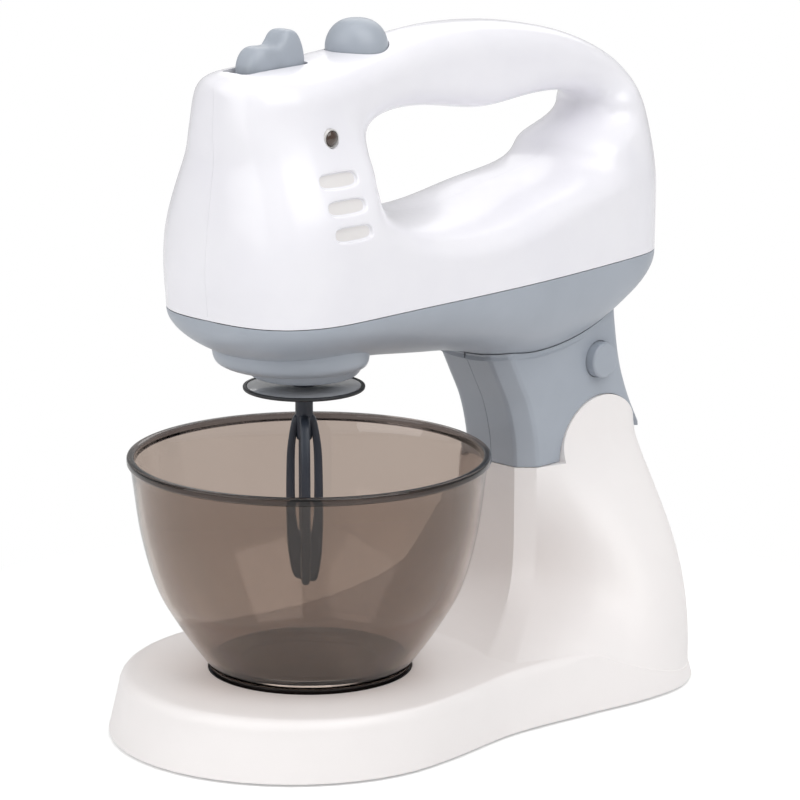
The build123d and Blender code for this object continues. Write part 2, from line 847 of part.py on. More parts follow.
def battery_door(outer):
    """Door that follows the left shell's skin, held by one screw."""
    skin = mirrored(outer) - mirrored(head_half(door_thickness))
    door = skin & door_block(0)
    y = battery_y1 - 1.0
    seat = half_width(y, battery_z, 0) - 1.2
    door -= rod_x(screw_radius + part_gap, -60, -10, y, battery_z)
    return door - rod_x(screw_head_radius + part_gap, -60, -seat, y, battery_z)


def door_screw():
    """Screw of the battery door, which lifts away with it."""
    y = battery_y1 - 1.0
    seat = half_width(y, battery_z, 0) - 1.2
    head = rod_x(screw_head_radius, -seat - 0.7, -seat, y, battery_z)
    return head + rod_x(screw_radius, -seat, -seat + 4.5, y, battery_z)


cell_places = [-7.8, -22.6]


def battery_tray(cavity):
    """Tray across the head that holds two cells side by side, open towards the door."""
    floor = block(-50, 50, battery_front_y - 3, battery_y1 + 3, battery_z - 11.5, battery_z - 9.5) & cavity
    inner_wall = block(0.6, 2.6, battery_front_y - 3, battery_y1 + 3, battery_z - 9.5, battery_z + 7)
    front_wall = block(-32.5, 0.6, battery_front_y - 3, battery_front_y - 1, battery_z - 9.5, battery_z + 7)
    rear_wall = block(-32.5, 0.6, battery_y1 + 1, battery_y1 + 3, battery_z - 9.5, battery_z + 7)
    tray = floor + inner_wall + front_wall + rear_wall
    screw_y = battery_y1 - 1.0
    post = rod_x(3.2, -32.5, -30.0, screw_y, battery_z)
    tray += post - rod_x(screw_radius + running_gap, -34, -29, screw_y, battery_z)
    for x in cell_places:
        near = battery_front_y + 10
        cradle = block(x - 6, x + 6, near, near + 4, battery_z - 9.5, battery_z - 5)
        cradle += block(x - 6, x + 6, battery_y1 - 16, battery_y1 - 12, battery_z - 9.5, battery_z - 5)
        tray += cradle
        gap = cell_radius + 0.2
        middle = (battery_front_y + battery_y1) / 2
        tray -= Pos(x, middle, battery_z) * Rot(90, 0, 0) * Cylinder(gap, cell_length + 2)
    return tray


def battery_cells():
    """Two cells, each with its raised end."""
    cells = []
    middle = (battery_front_y + battery_y1) / 2
    for x, way in zip(cell_places, (1, -1)):
        can = Pos(x, middle - way * 0.6, battery_z) * Rot(90, 0, 0) * Cylinder(cell_radius, cell_length - 1.2)
        nub = Pos(x, middle + way * (cell_length / 2 - 0.6), battery_z) * Rot(90, 0, 0) * Cylinder(2.7, 1.2)
        cells.append(can + nub)
    return cells


def battery_contacts():
    """Sprung contact strips at both ends of the cells."""
    strips = []
    middle = (battery_front_y + battery_y1) / 2
    for way in (1, -1):
        end = battery_y1 + 1 if way > 0 else battery_front_y - 1
        inner = middle + way * (cell_length / 2 + 0.3)
        low, high = min(end, inner), max(end, inner)
        for x in cell_places:
            strips.append(block(x - 4, x + 4, low, high, battery_z - 4, battery_z + 4))
    return strips


frame_posts = [(-24.0, 10.0), (24.0, 10.0), (-15.0, 47.0), (15.0, 47.0)]


def lower_cover(walls, inner):
    """Grey belly of the head, with the stepped boss round the beater, frame posts and the neck's plug."""
    belly = walls + mirrored(walls)
    profile = [
        (0, seam_z - 17), (tier_radius - 3, seam_z - 17), (tier_radius, 148.6), (tier_radius - 0.6, 146.4),
        (tier_radius - 2.4, 144.2), (tier_radius - 6, tier_bottom_z + tier_slope),
        (boss_radius + 1.4, tier_bottom_z),
        (boss_radius, tier_bottom_z - 0.3), (boss_radius - 0.5, boss_bottom_z + 1.0),
        (boss_radius - 2.4, boss_bottom_z + 0.2), (boss_radius - 4, boss_bottom_z), (0, boss_bottom_z),
    ]
    boss = turned(profile, 0, beater_y)
    full_inner = inner + mirrored(inner)
    tier_inner = [
        (0, seam_z - 10), (tier_radius - 6, seam_z - 10), (tier_radius - 6, 147.5), (boss_radius - 4, 144.4),
        (0, 144.4),
    ]
    belly = belly + (boss - full_inner)
    belly -= turned(tier_inner, 0, beater_y) & block(-30, 30, -60, 22, 100, seam_z)
    bush_radius = spindle_radius + 2.0
    belly += tube_z(bush_radius + 2.0, bush_radius, 0, beater_y, boss_bottom_z + 1, lower_plate_z - 0.6)
    belly -= rod_z(bush_radius, 0, beater_y, boss_bottom_z + 1.2, lower_plate_z)
    belly -= rod_z(spindle_radius + 0.4, 0, beater_y, boss_bottom_z - 3, lower_plate_z)
    for x, y in frame_posts:
        post = rod_z(3.4, x, y, 120, lower_plate_z)
        belly += post & full_inner
    plug = block(-9, 9, 111, 129, 121, seam_z - 28)
    plug = fillet(plug.edges().filter_by(Axis.Z), 3.0)
    belly += plug - full_inner
    return belly.solids().sort_by(SortBy.VOLUME)[-1]


def indicator_lens():
    """Dark lens set back in its hole on the right side."""
    y, z = lens_place
    return rod_x(lens_radius, lens_front_x - 3.4, lens_front_x, y, z)


def board_plate(cavity, y0, y1, z0, z1):
    """Flat plate across the head, trimmed to its inside."""
    return block(-50, 50, y0, y1, z0, z1) & cavity


def circuit_board(cavity):
    """Board under the slider that carries the switch and the indicator."""
    return board_plate(cavity, -38, 2, 243.0, 244.6)


def slide_switch():
    """Body of the slide switch on the board."""
    y0 = slider_front_y + 6
    return block(-6, 6, y0, y0 + 20, 244.6, 249.6)


def indicator_led():
    """Lamp behind the lens, with its leg up to the board."""
    y, z = lens_place
    lamp = rod_x(2.5, 17.5, lens_front_x - 3.4 - part_gap, y, z)
    return lamp + block(17.5, 19.0, y - 1.5, y + 1.5, z, 243.0)


def speed_slider():
    """Two-lobed slider on top of the nose, with its foot inside."""
    y0 = slider_front_y
    y1 = y0 + slider_length
    base = slider_base_z
    with BuildSketch(Plane.YZ) as side:
        with BuildLine():
            Line((y0, base), (y0 + 0.4, base + 7.5))
            Spline(
                (y0 + 0.4, base + 7.5), (y0 + 5.5, base + 12.0), (y0 + 13, base + 13.2),
                (y0 + 17, base + 14.6), (y0 + 22, base + 18.0), (y0 + 27.5, base + 17.6),
                (y0 + 31.4, base + 12.5), (y1, base + 5),
            )
            Line((y1, base + 5), (y1, base))
            Line((y1, base), (y0, base))
        make_face()
    knob = extrude(side.sketch.face(), slider_half_width, both=True)
    outline = RectangleRounded(slider_half_width * 2, slider_length, slot_round)
    knob &= extrude(Pos(0, (y0 + y1) / 2, base - 1) * outline, 30)
    fork = block(-3, 3, y0 + 11, y0 + 21, 249.9, base)
    return knob + fork


def button_seat(cavity):
    """Plate in the handle's root that guides the dome button and carries its spring."""
    plate = board_plate(cavity, dome_y - 15, dome_y + 15, 244.5, 246.5)
    return plate - rod_z(4.0 + part_gap, 0, dome_y, 240, 250)


def dome_button():
    """Domed push button on the handle's root, with a skirt in its hole and a guide stem."""
    top = dome_base_z + dome_height
    with BuildSketch(Plane.XZ) as half:
        with BuildLine():
            Line((0, dome_base_z - 5), (dome_radius, dome_base_z - 5))
            Line((dome_radius, dome_base_z - 5), (dome_radius, dome_base_z + 1.5))
            Spline(
                (dome_radius, dome_base_z + 1.5), (dome_radius - 0.7, dome_base_z + 5.2),
                (dome_radius - 4.2, top - 2.3), (0, top),
                tangents=[(0, 1), (-1, 0)],
            )
            Line((0, top), (0, dome_base_z - 5))
        make_face()
    dome = Pos(0, dome_y, 0) * revolve(half.sketch.face(), Axis.Z)
    return dome + rod_z(4.0, 0, dome_y, 241.0, dome_base_z - 5)


def dome_spring():
    """Spring under the dome button, on its seat."""
    return tube_z(6.0, 4.0 + part_gap, 0, dome_y, 246.5, dome_base_z - 5)


# Beater drive


spindle_axis = beater_y
idler_axis = spindle_axis + gear_module * (spindle_teeth + idler_small_teeth) / 2
pinion_axis = idler_axis + gear_module * (idler_large_teeth + pinion_teeth) / 2


def involute(angle):
    """Involute function of a pressure angle in radians."""
    return math.tan(angle) - angle


def gear_blank(teeth, turn):
    """Face of a spur gear with involute teeth and a little backlash, turned by degrees from +Y."""
    pitch = gear_module * teeth / 2
    base = pitch * math.cos(math.radians(pressure_angle))
    tip = pitch + addendum * gear_module
    root = pitch - dedendum * gear_module
    half_at_pitch = math.pi / (2 * teeth) - gear_backlash / (2 * pitch)
    flank = []
    steps = 4
    for k in range(steps + 1):
        radius = max(base, root) + (tip - max(base, root)) * k / steps
        local = math.acos(min(base / radius, 1.0))
        half = half_at_pitch + involute(math.radians(pressure_angle)) - involute(local)
        flank.append((radius, half))
    if root < base:
        flank.insert(0, (root, flank[0][1]))
    corners = []
    for tooth in range(teeth):
        middle = 2 * math.pi * tooth / teeth + math.pi / 2 + math.radians(turn)
        for radius, half in flank:
            corners.append((radius * math.cos(middle - half), radius * math.sin(middle - half)))
        for radius, half in reversed(flank):
            corners.append((radius * math.cos(middle + half), radius * math.sin(middle + half)))
    return make_face(Polyline(*corners, close=True))


def gear(teeth, turn, y, z0, width):
    """Spur gear on an upright axis."""
    return Pos(0, y, z0) * extrude(gear_blank(teeth, turn), width)


def spindle():
    """Socket spindle with its gear, which turns the beater."""
    shaft = rod_z(spindle_radius, 0, spindle_axis, boss_bottom_z, spindle_top_z - 6)
    shaft += rod_z(3.0, 0, spindle_axis, spindle_top_z - 6, spindle_top_z - 0.6)
    shaft += gear(spindle_teeth, 0, spindle_axis, lower_gear_z, gear_width)
    socket_top = boss_bottom_z + plug_length + 1
    return shaft - rod_z(plug_radius + running_gap, 0, spindle_axis, boss_bottom_z - 1, socket_top)


def spindle_bush():
    """Bush in the belly's boss, round the spindle."""
    radius = spindle_radius + 2.0
    bore = spindle_radius + running_gap
    return tube_z(radius, bore, 0, spindle_axis, boss_bottom_z + 1.2, lower_plate_z - 0.6)


def idler_gear():
    """Double gear between the pinion and the spindle."""
    low = gear(idler_small_teeth, 15, idler_axis, lower_gear_z - 0.5, upper_gear_z - lower_gear_z + 0.5)
    high = gear(idler_large_teeth, 0, idler_axis, upper_gear_z, gear_width - 0.6)
    return low + high - rod_z(axle_radius + running_gap, 0, idler_axis, 140, 190)


def idler_axle():
    """Steel axle of the double gear, pressed in both plates."""
    return rod_z(axle_radius, 0, idler_axis, lower_plate_z + 0.2, upper_plate_z + plate_thickness)


def motor_pinion():
    """Pinion and the motor's shaft."""
    low = upper_gear_z - 0.5
    top = upper_plate_z + plate_thickness
    teeth = gear(pinion_teeth, 15, pinion_axis, low, gear_width)
    return teeth + rod_z(motor_shaft_radius, 0, pinion_axis, low, top + 5)


def motor():
    """Small flat-sided motor that stands on the frame's upper plate."""
    low = upper_plate_z + plate_thickness
    front = pinion_axis - motor_half_depth
    rear = pinion_axis + motor_half_depth
    can = block(-motor_half_width, motor_half_width, front, rear, low, low + motor_length)
    can = fillet(can.edges().filter_by(Axis.Z), 5.0)
    return can - rod_z(motor_shaft_radius + running_gap, 0, pinion_axis, low - 1, low + 5 + part_gap)


def gear_frame():
    """Two plates joined by four pillars, which hold the gears, the axle and the motor."""
    with BuildSketch() as plan:
        with BuildLine():
            Polyline((-27.5, -18), (27.5, -18), (25.5, 14), (18, 54), (-18, 54), (-25.5, 14), close=True)
        make_face()
    plate = extrude(plan.sketch.face(), plate_thickness)
    frame = Pos(0, 0, lower_plate_z) * plate + Pos(0, 0, upper_plate_z) * plate
    for x, y in [(-25, -14), (25, -14), (-16, 50), (16, 50)]:
        frame += rod_z(2.4, x, y, lower_plate_z, upper_plate_z + 1)
    lower_top = lower_plate_z + plate_thickness
    upper_top = upper_plate_z + plate_thickness
    frame -= rod_z(spindle_radius + running_gap, 0, spindle_axis, lower_plate_z - 1, lower_top + 0.5)
    frame -= rod_z(3.0 + running_gap, 0, spindle_axis, upper_plate_z - 1, upper_top + 1)
    frame -= rod_z(axle_radius, 0, idler_axis, lower_plate_z + 0.2, upper_top + 1)
    return frame - rod_z(motor_shaft_radius + 1.2, 0, pinion_axis, upper_plate_z - 1, upper_top + 1)


def loop_blade(half, bottom, top):
    """Flat closed loop of a beater in its own plane."""
    w = blade_width
    high = top - bottom
    outer = [
        (0, top), (half * 0.72, top - high * 0.10), (half, top - high * 0.30),
        (half * 0.98, bottom + high * 0.22), (half * 0.62, bottom + high * 0.05), (0, bottom),
    ]
    inner_half = half - w * 0.62
    inner = [
        (0, top - w), (inner_half * 0.70, top - w - high * 0.09), (inner_half, top - high * 0.32),
        (inner_half * 0.98, bottom + high * 0.23), (inner_half * 0.60, bottom + w * 0.8 + high * 0.03),
        (0, bottom + w * 0.7),
    ]

    def ring(points):
        left = [(-x, z) for x, z in reversed(points[1:-1])]
        return Spline(*(points + left), periodic=True)

    face = Plane.XZ * (make_face(ring(outer)) - make_face(ring(inner)))
    return extrude(face, blade_thickness / 2, both=True)


def beater():
    """Whisk of two crossing loops on a shank whose plug fits the spindle."""
    wide = loop_blade(wide_loop_half, blade_bottom_z, blade_top_z)
    narrow = Rot(0, 0, 90) * loop_blade(narrow_loop_half, blade_bottom_z + 1.5, blade_top_z)
    whisk = Rot(0, 0, beater_turn - 90) * (wide + narrow)
    shaft = rod_z(shank_radius - 0.5, 0, 0, blade_top_z - 6, disc_z)
    shaft += rod_z(shank_radius, 0, 0, disc_z, boss_bottom_z - part_gap)
    shaft += rod_z(plug_radius, 0, 0, boss_bottom_z - part_gap, boss_bottom_z + plug_length)
    return Pos(0, beater_y, 0) * (whisk + shaft)


def splash_disc():
    """Thin round splash guard on the beater's shank."""
    low = disc_z - disc_thickness / 2
    disc = rod_z(disc_radius, 0, beater_y, low, low + disc_thickness)
    disc = fillet(disc.edges().filter_by(GeomType.CIRCLE).group_by(Axis.Z)[-1], 0.7)
    return disc


def main():
    """Builds every piece, moves it so that the origin is mid-footprint, and writes it."""
    os.makedirs("parts", exist_ok=True)
    outer, inner, upper_walls, lower_walls = head_pieces()
    cavity_right = head_half(head_wall + part_gap)
    cavity = cavity_right + mirrored(cavity_right)
    cradle = head_half(-cradle_gap)
    neck = neck_half_solid(cradle)
    beater_piece = beater()
    disc_piece = splash_disc()
    disc_piece -= rod_z(shank_radius, 0, beater_y, disc_z - 5, disc_z + 5)
    pieces = {
        "base_shell": base_shell(),
        "bottom_cover": bottom_cover(),
        "rubber_feet": rubber_feet(),
        "base_screws": base_screws(),
        "pivot_pin": pivot_pin(),
        "pivot_cap": pivot_cap(),
        "turntable": turntable(),
        "turntable_washer": turntable_washer(),
        "turntable_screw": turntable_screw(),
        "mixing_bowl": mixing_bowl(),
        "neck_right": neck_with_bosses(neck_right(neck), 1),
        "neck_left": neck_with_bosses(neck_left(neck), -1),
        "neck_screws": neck_screws(),
        "release_button": release_button(),
        "release_spring": release_spring(),
        "shell_right": shell_right(upper_walls, outer),
        "shell_left": shell_left(upper_walls, outer),
        "lower_cover": lower_cover(lower_walls, inner),
        "head_screws": head_screws(),
        "battery_door": battery_door(outer),
        "door_screw": door_screw(),
        "battery_tray": battery_tray(cavity),
        "battery_cells": battery_cells(),
        "battery_contacts": battery_contacts(),
        "circuit_board": circuit_board(cavity),
        "slide_switch": slide_switch(),
        "indicator_led": indicator_led(),
        "indicator_lens": indicator_lens(),
        "speed_slider": speed_slider(),
        "button_seat": button_seat(cavity),
        "dome_button": dome_button(),
        "dome_spring": dome_spring(),
        "gear_frame": gear_frame(),
        "spindle": spindle(),
        "spindle_bush": spindle_bush(),
        "idler_gear": idler_gear(),
        "idler_axle": idler_axle(),
        "motor_pinion": motor_pinion(),
        "motor": motor(),
        "beater": beater_piece,
        "splash_disc": disc_piece,
    }
    shift = (front_radius - front_centre_y - head_rear_y - 0.4) / 2
    for name, shape in pieces.items():
        if isinstance(shape, list):
            shape = Compound([solid_of(s) for s in shape])
        else:
            shape = solid_of(shape)
        export_step(Pos(0, shift, 0) * shape, f"parts/{name}.step")


main()
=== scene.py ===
"""Looks of the toy stand mixer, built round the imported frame.

Lengths inside the classes are in millimetres from the bowl's upright axis, with the nose towards -Y.
One function turns them to the frame's metres.
"""

import json
import logging
import math
from dataclasses import dataclass
from enum import Enum

import bmesh
import bpy
import numpy as np
from mathutils import Matrix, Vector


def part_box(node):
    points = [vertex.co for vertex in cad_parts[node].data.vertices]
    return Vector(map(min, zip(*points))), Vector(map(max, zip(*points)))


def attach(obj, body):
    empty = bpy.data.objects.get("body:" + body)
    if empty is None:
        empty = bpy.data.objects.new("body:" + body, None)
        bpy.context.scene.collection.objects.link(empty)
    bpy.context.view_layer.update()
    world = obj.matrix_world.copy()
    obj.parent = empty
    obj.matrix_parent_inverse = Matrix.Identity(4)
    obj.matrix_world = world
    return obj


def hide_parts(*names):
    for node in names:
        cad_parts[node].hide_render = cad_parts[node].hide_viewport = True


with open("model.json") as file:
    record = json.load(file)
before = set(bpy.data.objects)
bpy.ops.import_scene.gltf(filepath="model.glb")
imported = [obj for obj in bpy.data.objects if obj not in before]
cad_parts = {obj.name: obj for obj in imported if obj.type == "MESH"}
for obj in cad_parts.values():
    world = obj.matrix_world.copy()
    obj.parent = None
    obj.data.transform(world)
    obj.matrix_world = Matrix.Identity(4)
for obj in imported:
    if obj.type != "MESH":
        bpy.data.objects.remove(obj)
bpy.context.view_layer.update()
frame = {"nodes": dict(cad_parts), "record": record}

log = logging.getLogger("mixer")
logging.basicConfig(level=logging.INFO, format="%(message)s")

MM_PER_M = 1000
BOWL_LOW, BOWL_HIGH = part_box("mixing_bowl")
BOWL_AXIS_Y = (BOWL_LOW.y + BOWL_HIGH.y) / 2 * MM_PER_M
# The Mix node's sockets by number, because their names repeat.
MIX_SHARE, MIX_FIRST, MIX_SECOND, MIX_COLOUR = 0, 6, 7, 2
Grid = tuple[np.ndarray, np.ndarray, np.ndarray]
Curve = list[tuple[float, float]]


class Body(Enum):
    """The moving bodies of the frame that pieces ride on."""

    STAND = "stand"
    CARRIER = "carrier"
    BOWL = "bowl"
    NECK = "neck"
    RELEASE = "release"
    HEAD = "head"
    DOOR = "door"
    SLIDER = "slider"
    DOME = "dome"
    DRIVE = "drive"
    IDLER = "idler"
    PINION = "pinion"
    WHISK = "whisk"


class Side(Enum):
    """Right or left half of a mirrored piece."""

    RIGHT = 1
    LEFT = -1


class Carve(Enum):
    """What a closed mesh does to a piece: it is cut out, or only what it holds is kept."""

    CUT = "DIFFERENCE"
    KEEP = "INTERSECT"


def linear(hex_colour: str) -> tuple[float, float, float, float]:
    """Turns an sRGB hex colour to linear light.

    Args:
        hex_colour: six hex digits after a hash sign.

    Returns:
        Red, green, blue and an alpha of one.
    """
    parts = [int(hex_colour[i:i + 2], 16) / 255 for i in (1, 3, 5)]
    light = [p / 12.92 if p <= 0.04045 else ((p + 0.055) / 1.055) ** 2.4 for p in parts]
    return (light[0], light[1], light[2], 1.0)


def add_node(
    tree: bpy.types.NodeTree, kind: str, settings: dict | None = None, links: dict | None = None,
) -> bpy.types.Node:
    """Adds one node with its settings and its incoming links.

    Args:
        tree: the material's or world's node tree.
        kind: the node's type name.
        settings: input values by socket name or number, or attributes by their name with a leading dot.
        links: source sockets by input name or number.

    Returns:
        The new node.
    """
    node = tree.nodes.new(kind)
    for key, value in (settings or {}).items():
        if str(key).startswith("."):
            setattr(node, key[1:], value)
        else:
            node.inputs[key].default_value = value
    for key, source in (links or {}).items():
        tree.links.new(source, node.inputs[key])
    return node


def empty_material(name: str) -> tuple[bpy.types.Material, bpy.types.NodeTree]:
    """Makes a node material whose tree is empty.

    Args:
        name: the material's name.

    Returns:
        The material and its tree.
    """
    made = bpy.data.materials.new(name)
    made.use_nodes = True
    made.node_tree.nodes.clear()
    return made, made.node_tree


@dataclass(frozen=True)
class MouldedPlastic:
    """Injection-moulded plastic: an even colour, a faint cloudiness and a very fine orange-peel skin."""

    name: str
    colour: str
    shade: str
    roughness: float
    cloud_mm: float = MM_PER_M / 38
    scuff_mm: float = 6.25
    grain_mm: float = 1.1
    grain_depth_mm: float = 0.006
    coat: float = 0.0
    coat_roughness: float = 0.08
    ior: float = 1.53
    metallic: float = 0.0

    def material(self) -> bpy.types.Material:
        """Builds the material, or returns the one already built.

        Returns:
            A node material on Object coordinates.
        """
        ready = bpy.data.materials.get(self.name)
        if ready:
            return ready
        made, tree = empty_material(self.name)
        place = {"Vector": add_node(tree, "ShaderNodeTexCoord").outputs["Object"]}
        cloud = add_node(
            tree, "ShaderNodeTexNoise", {"Scale": MM_PER_M / self.cloud_mm, "Detail": 3.0}, place,
        )
        fade = add_node(
            tree, "ShaderNodeMapRange", {"From Min": 0.35, "From Max": 0.75}, {"Value": cloud.outputs["Fac"]},
        )
        tint = add_node(
            tree,
            "ShaderNodeMix",
            {".data_type": "RGBA", MIX_FIRST: linear(self.colour), MIX_SECOND: linear(self.shade)},
            {MIX_SHARE: fade.outputs["Result"]},
        )
        scuff = add_node(
            tree,
            "ShaderNodeTexNoise",
            {"Scale": MM_PER_M / self.scuff_mm, "Detail": 4.0, "Roughness": 0.6},
            place,
        )
        rough = add_node(
            tree,
            "ShaderNodeMapRange",
            {"To Min": self.roughness - 0.03, "To Max": self.roughness + 0.05},
            {"Value": scuff.outputs["Fac"]},
        )
        peel = add_node(tree, "ShaderNodeTexNoise", {"Scale": MM_PER_M / self.grain_mm, "Detail": 1.0}, place)
        bump = add_node(
            tree,
            "ShaderNodeBump",
            {"Strength": 0.5, "Distance": self.grain_depth_mm / MM_PER_M},
            {"Height": peel.outputs["Fac"]},
        )
        shader = add_node(
            tree,
            "ShaderNodeBsdfPrincipled",
            {
                "IOR": self.ior,
                "Metallic": self.metallic,
                "Coat Weight": self.coat,
                "Coat Roughness": self.coat_roughness,
            },
            {
                "Base Color": tint.outputs[MIX_COLOUR],
                "Roughness": rough.outputs["Result"],
                "Normal": bump.outputs["Normal"],
            },
        )
        add_node(tree, "ShaderNodeOutputMaterial", None, {"Surface": shader.outputs["BSDF"]})
        return made


@dataclass(frozen=True)
class SmokedStyrene:
    """Clear polystyrene tinted smoky brown: sharp reflections, and shadows that let light through."""

    name: str
    tint: str
    deep_tint: str
    shadow_tint: str
    roughness: float = 0.03
    ior: float = 1.49
    flow_mm: float = MM_PER_M / 14

    def material(self) -> bpy.types.Material:
        """Builds the material, or returns the one already built.

        Returns:
            A node material that refracts for every ray but a shadow ray, which it tints.
        """
        ready = bpy.data.materials.get(self.name)
        if ready:
            return ready
        made, tree = empty_material(self.name)
        place = {"Vector": add_node(tree, "ShaderNodeTexCoord").outputs["Object"]}
        flow = add_node(tree, "ShaderNodeTexNoise", {"Scale": MM_PER_M / self.flow_mm, "Detail": 1.0}, place)
        tint = add_node(
            tree,
            "ShaderNodeMix",
            {".data_type": "RGBA", MIX_FIRST: linear(self.tint), MIX_SECOND: linear(self.deep_tint)},
            {MIX_SHARE: flow.outputs["Fac"]},
        )
        glass = add_node(
            tree,
            "ShaderNodeBsdfPrincipled",
            {"Transmission Weight": 1.0, "Roughness": self.roughness, "IOR": self.ior},
            {"Base Color": tint.outputs[MIX_COLOUR]},
        )
        clear = add_node(tree, "ShaderNodeBsdfTransparent", {"Color": linear(self.shadow_tint)})
        path = add_node(tree, "ShaderNodeLightPath")
        mix = add_node(
            tree,
            "ShaderNodeMixShader",
            None,
            {"Fac": path.outputs["Is Shadow Ray"], 1: glass.outputs["BSDF"], 2: clear.outputs["BSDF"]},
        )
        add_node(tree, "ShaderNodeOutputMaterial", None, {"Surface": mix.outputs["Shader"]})
        return made


Finish = MouldedPlastic | SmokedStyrene


# Gloss ABS of the mixer head, moulded in a polished tool: a cool white with a soft sheen.
HEAD_WHITE = MouldedPlastic("gloss_white_abs_head", "#F3F2F7", "#EFEEF4", 0.24, coat=0.25)
# The stand's ABS is a touch warmer, as pearl pigment makes it, and its sheen is broader.
STAND_WHITE = MouldedPlastic("pearl_white_abs_stand", "#F7F3F2", "#F5F1F0", 0.42)
# Grey-blue ABS of the neck, belly and controls: satin, so its highlights are broad.
GREY_BLUE = MouldedPlastic("satin_grey_blue_abs", "#A9B0BA", "#A3AAB4", 0.34)
# Dark slate polypropylene of the beater: moulded with a low gloss.
SLATE = MouldedPlastic("slate_polypropylene_beater", "#3A414D", "#343A45", 0.38)
# Painted reflection: a pale grey upper face on the black splash disc, standing for the white surroundings and
# the boss that its gloss mirrors.
DISC_PAINTED_REFLECTION = MouldedPlastic("disc_face_painted_reflection", "#C9CACD", "#BFC1C5", 0.12, coat=0.5)
# Black polypropylene of the turntable and the disc's edge: satin, so only its rims catch light.
BLACK = MouldedPlastic("black_polypropylene_turntable", "#24262A", "#1F2125", 0.42)
# Pressed rubber of the pads: dull, with a coarse skin.
RUBBER = MouldedPlastic("black_rubber_pad", "#1D1D1F", "#232325", 0.75, grain_depth_mm=0.03)
# Brown acrylic lens: a small glossy dark dome.
LENS = MouldedPlastic("brown_acrylic_lens", "#4A3528", "#3B291F", 0.08, coat=0.9)
# Natural acetal of the gears, frame and tray: a waxy off-white.
INNER = MouldedPlastic("natural_acetal_gears", "#D9D7CF", "#D0CEC6", 0.4)
# Zinc-plated steel of screws, pins and springs: a soft grey metal.
STEEL = MouldedPlastic("zinc_plated_steel", "#B9BBBF", "#A9ABB0", 0.3, metallic=1.0)
# Turned brass of the bush and the pinion: a warm yellow metal.
BRASS = MouldedPlastic("turned_brass", "#C9A45C", "#BE9850", 0.28, metallic=1.0)
# Solder mask of the board: an even dark green.
BOARD = MouldedPlastic("green_solder_mask", "#1F5A34", "#1B5030", 0.35)
# Shrunk film round the cells: dark and slightly glossy.
CELL = MouldedPlastic("dark_wrapped_cell", "#3A3D42", "#44484E", 0.3)
# Painted shade: matt plates on the vent floors, a shade darker than the shell round them, stand for the shade
# inside the recesses.
VENT_PAINTED_SHADE = MouldedPlastic("vent_floor_painted_shade", "#E8E5E4", "#E2DFDE", 0.5)
# Vacuum-plated ring round the indicator: a satin silver.
SILVER = MouldedPlastic("satin_silver_ring", "#D6D4D2", "#C9C7C6", 0.3, metallic=0.4)
# Smoked polystyrene of the bowl: tint chosen so that two walls over white read as a mid brown-grey.
SMOKE = SmokedStyrene("smoked_polystyrene_bowl", "#B1A399", "#AC9D93", "#CFC5BF")
# The thick rolled rim and foot ring of the same styrene let far less light through.
SMOKE_EDGE = SmokedStyrene("smoked_polystyrene_thick_edge", "#625854", "#5A514D", "#8A827D", 0.05)

FINISH_NODES: tuple[tuple[Finish, str], ...] = (
    (STAND_WHITE, "base_shell bottom_cover pivot_cap"),
    (RUBBER, "rubber_feet"),
    (STEEL, "base_screws pivot_pin turntable_screw neck_screws release_spring head_screws door_screw"),
    (STEEL, "battery_contacts dome_spring idler_axle motor"),
    (BLACK, "turntable turntable_washer slide_switch"),
    (SMOKE, "mixing_bowl"),
    (GREY_BLUE, "neck_right neck_left release_button lower_cover speed_slider dome_button"),
    (HEAD_WHITE, "shell_right shell_left battery_door"),
    (INNER, "battery_tray button_seat gear_frame spindle idler_gear"),
    (CELL, "battery_cells"),
    (BOARD, "circuit_board"),
    (LENS, "indicator_led indicator_lens"),
    (BRASS, "spindle_bush motor_pinion"),
    (SLATE, "beater"),
    (DISC_PAINTED_REFLECTION, "splash_disc"),
)
NODE_FINISH: dict[str, Finish] = {node: finish for finish, nodes in FINISH_NODES for node in nodes.split()}


def smooth_curve(points: Curve, at: np.ndarray) -> np.ndarray:
    """Value of a smooth curve through (place, value) points, level past both ends.

    A cubic Hermite piece runs between neighbours, with the slope at each point taken between those beside it.

    Args:
        points: places in rising order, with their values.
        at: places to read.

    Returns:
        The curve's values.
    """
    places, values = np.array(points, dtype=float).T
    low = np.maximum(np.arange(len(places)) - 1, 0)
    high = np.minimum(np.arange(len(places)) + 1, len(places) - 1)
    slopes = (values[high] - values[low]) / (places[high] - places[low])
    i = np.clip(np.searchsorted(places, at, side="left") - 1, 0, len(places) - 2)
    span = places[i + 1] - places[i]
    t = np.clip((at - places[i]) / span, 0, 1)
    start = (1 + 2 * t) * (1 - t) ** 2 * values[i] + t * t * (3 - 2 * t) * values[i + 1]
    return start + t * (1 - t) ** 2 * span * slopes[i] - t * t * (1 - t) * span * slopes[i + 1]


def soft_step(value: np.ndarray, low: float, high: float) -> np.ndarray:
    """0 below low and 1 above high, with the cubic 3t^2 - 2t^3 between."""
    t = np.clip((value - low) / (high - low), 0, 1)
    return t * t * (3 - 2 * t)


def edge_round(gap: np.ndarray, depth: np.ndarray | float, power: float) -> np.ndarray:
    """Share of the full width at a gap inside an outline: (1 - (1 - gap/depth)^n)^(1/n)."""
    t = 1 - np.clip(gap / depth, 0, 1)
    return (1 - t**power) ** (1 / power)


def to_frame(x: np.ndarray, y: np.ndarray, z: np.ndarray) -> np.ndarray:
    """Turns millimetres about the bowl's axis to the frame's metres, one row per point."""
    return np.stack([x.ravel(), y.ravel() + BOWL_AXIS_Y, z.ravel()], axis=1) / MM_PER_M


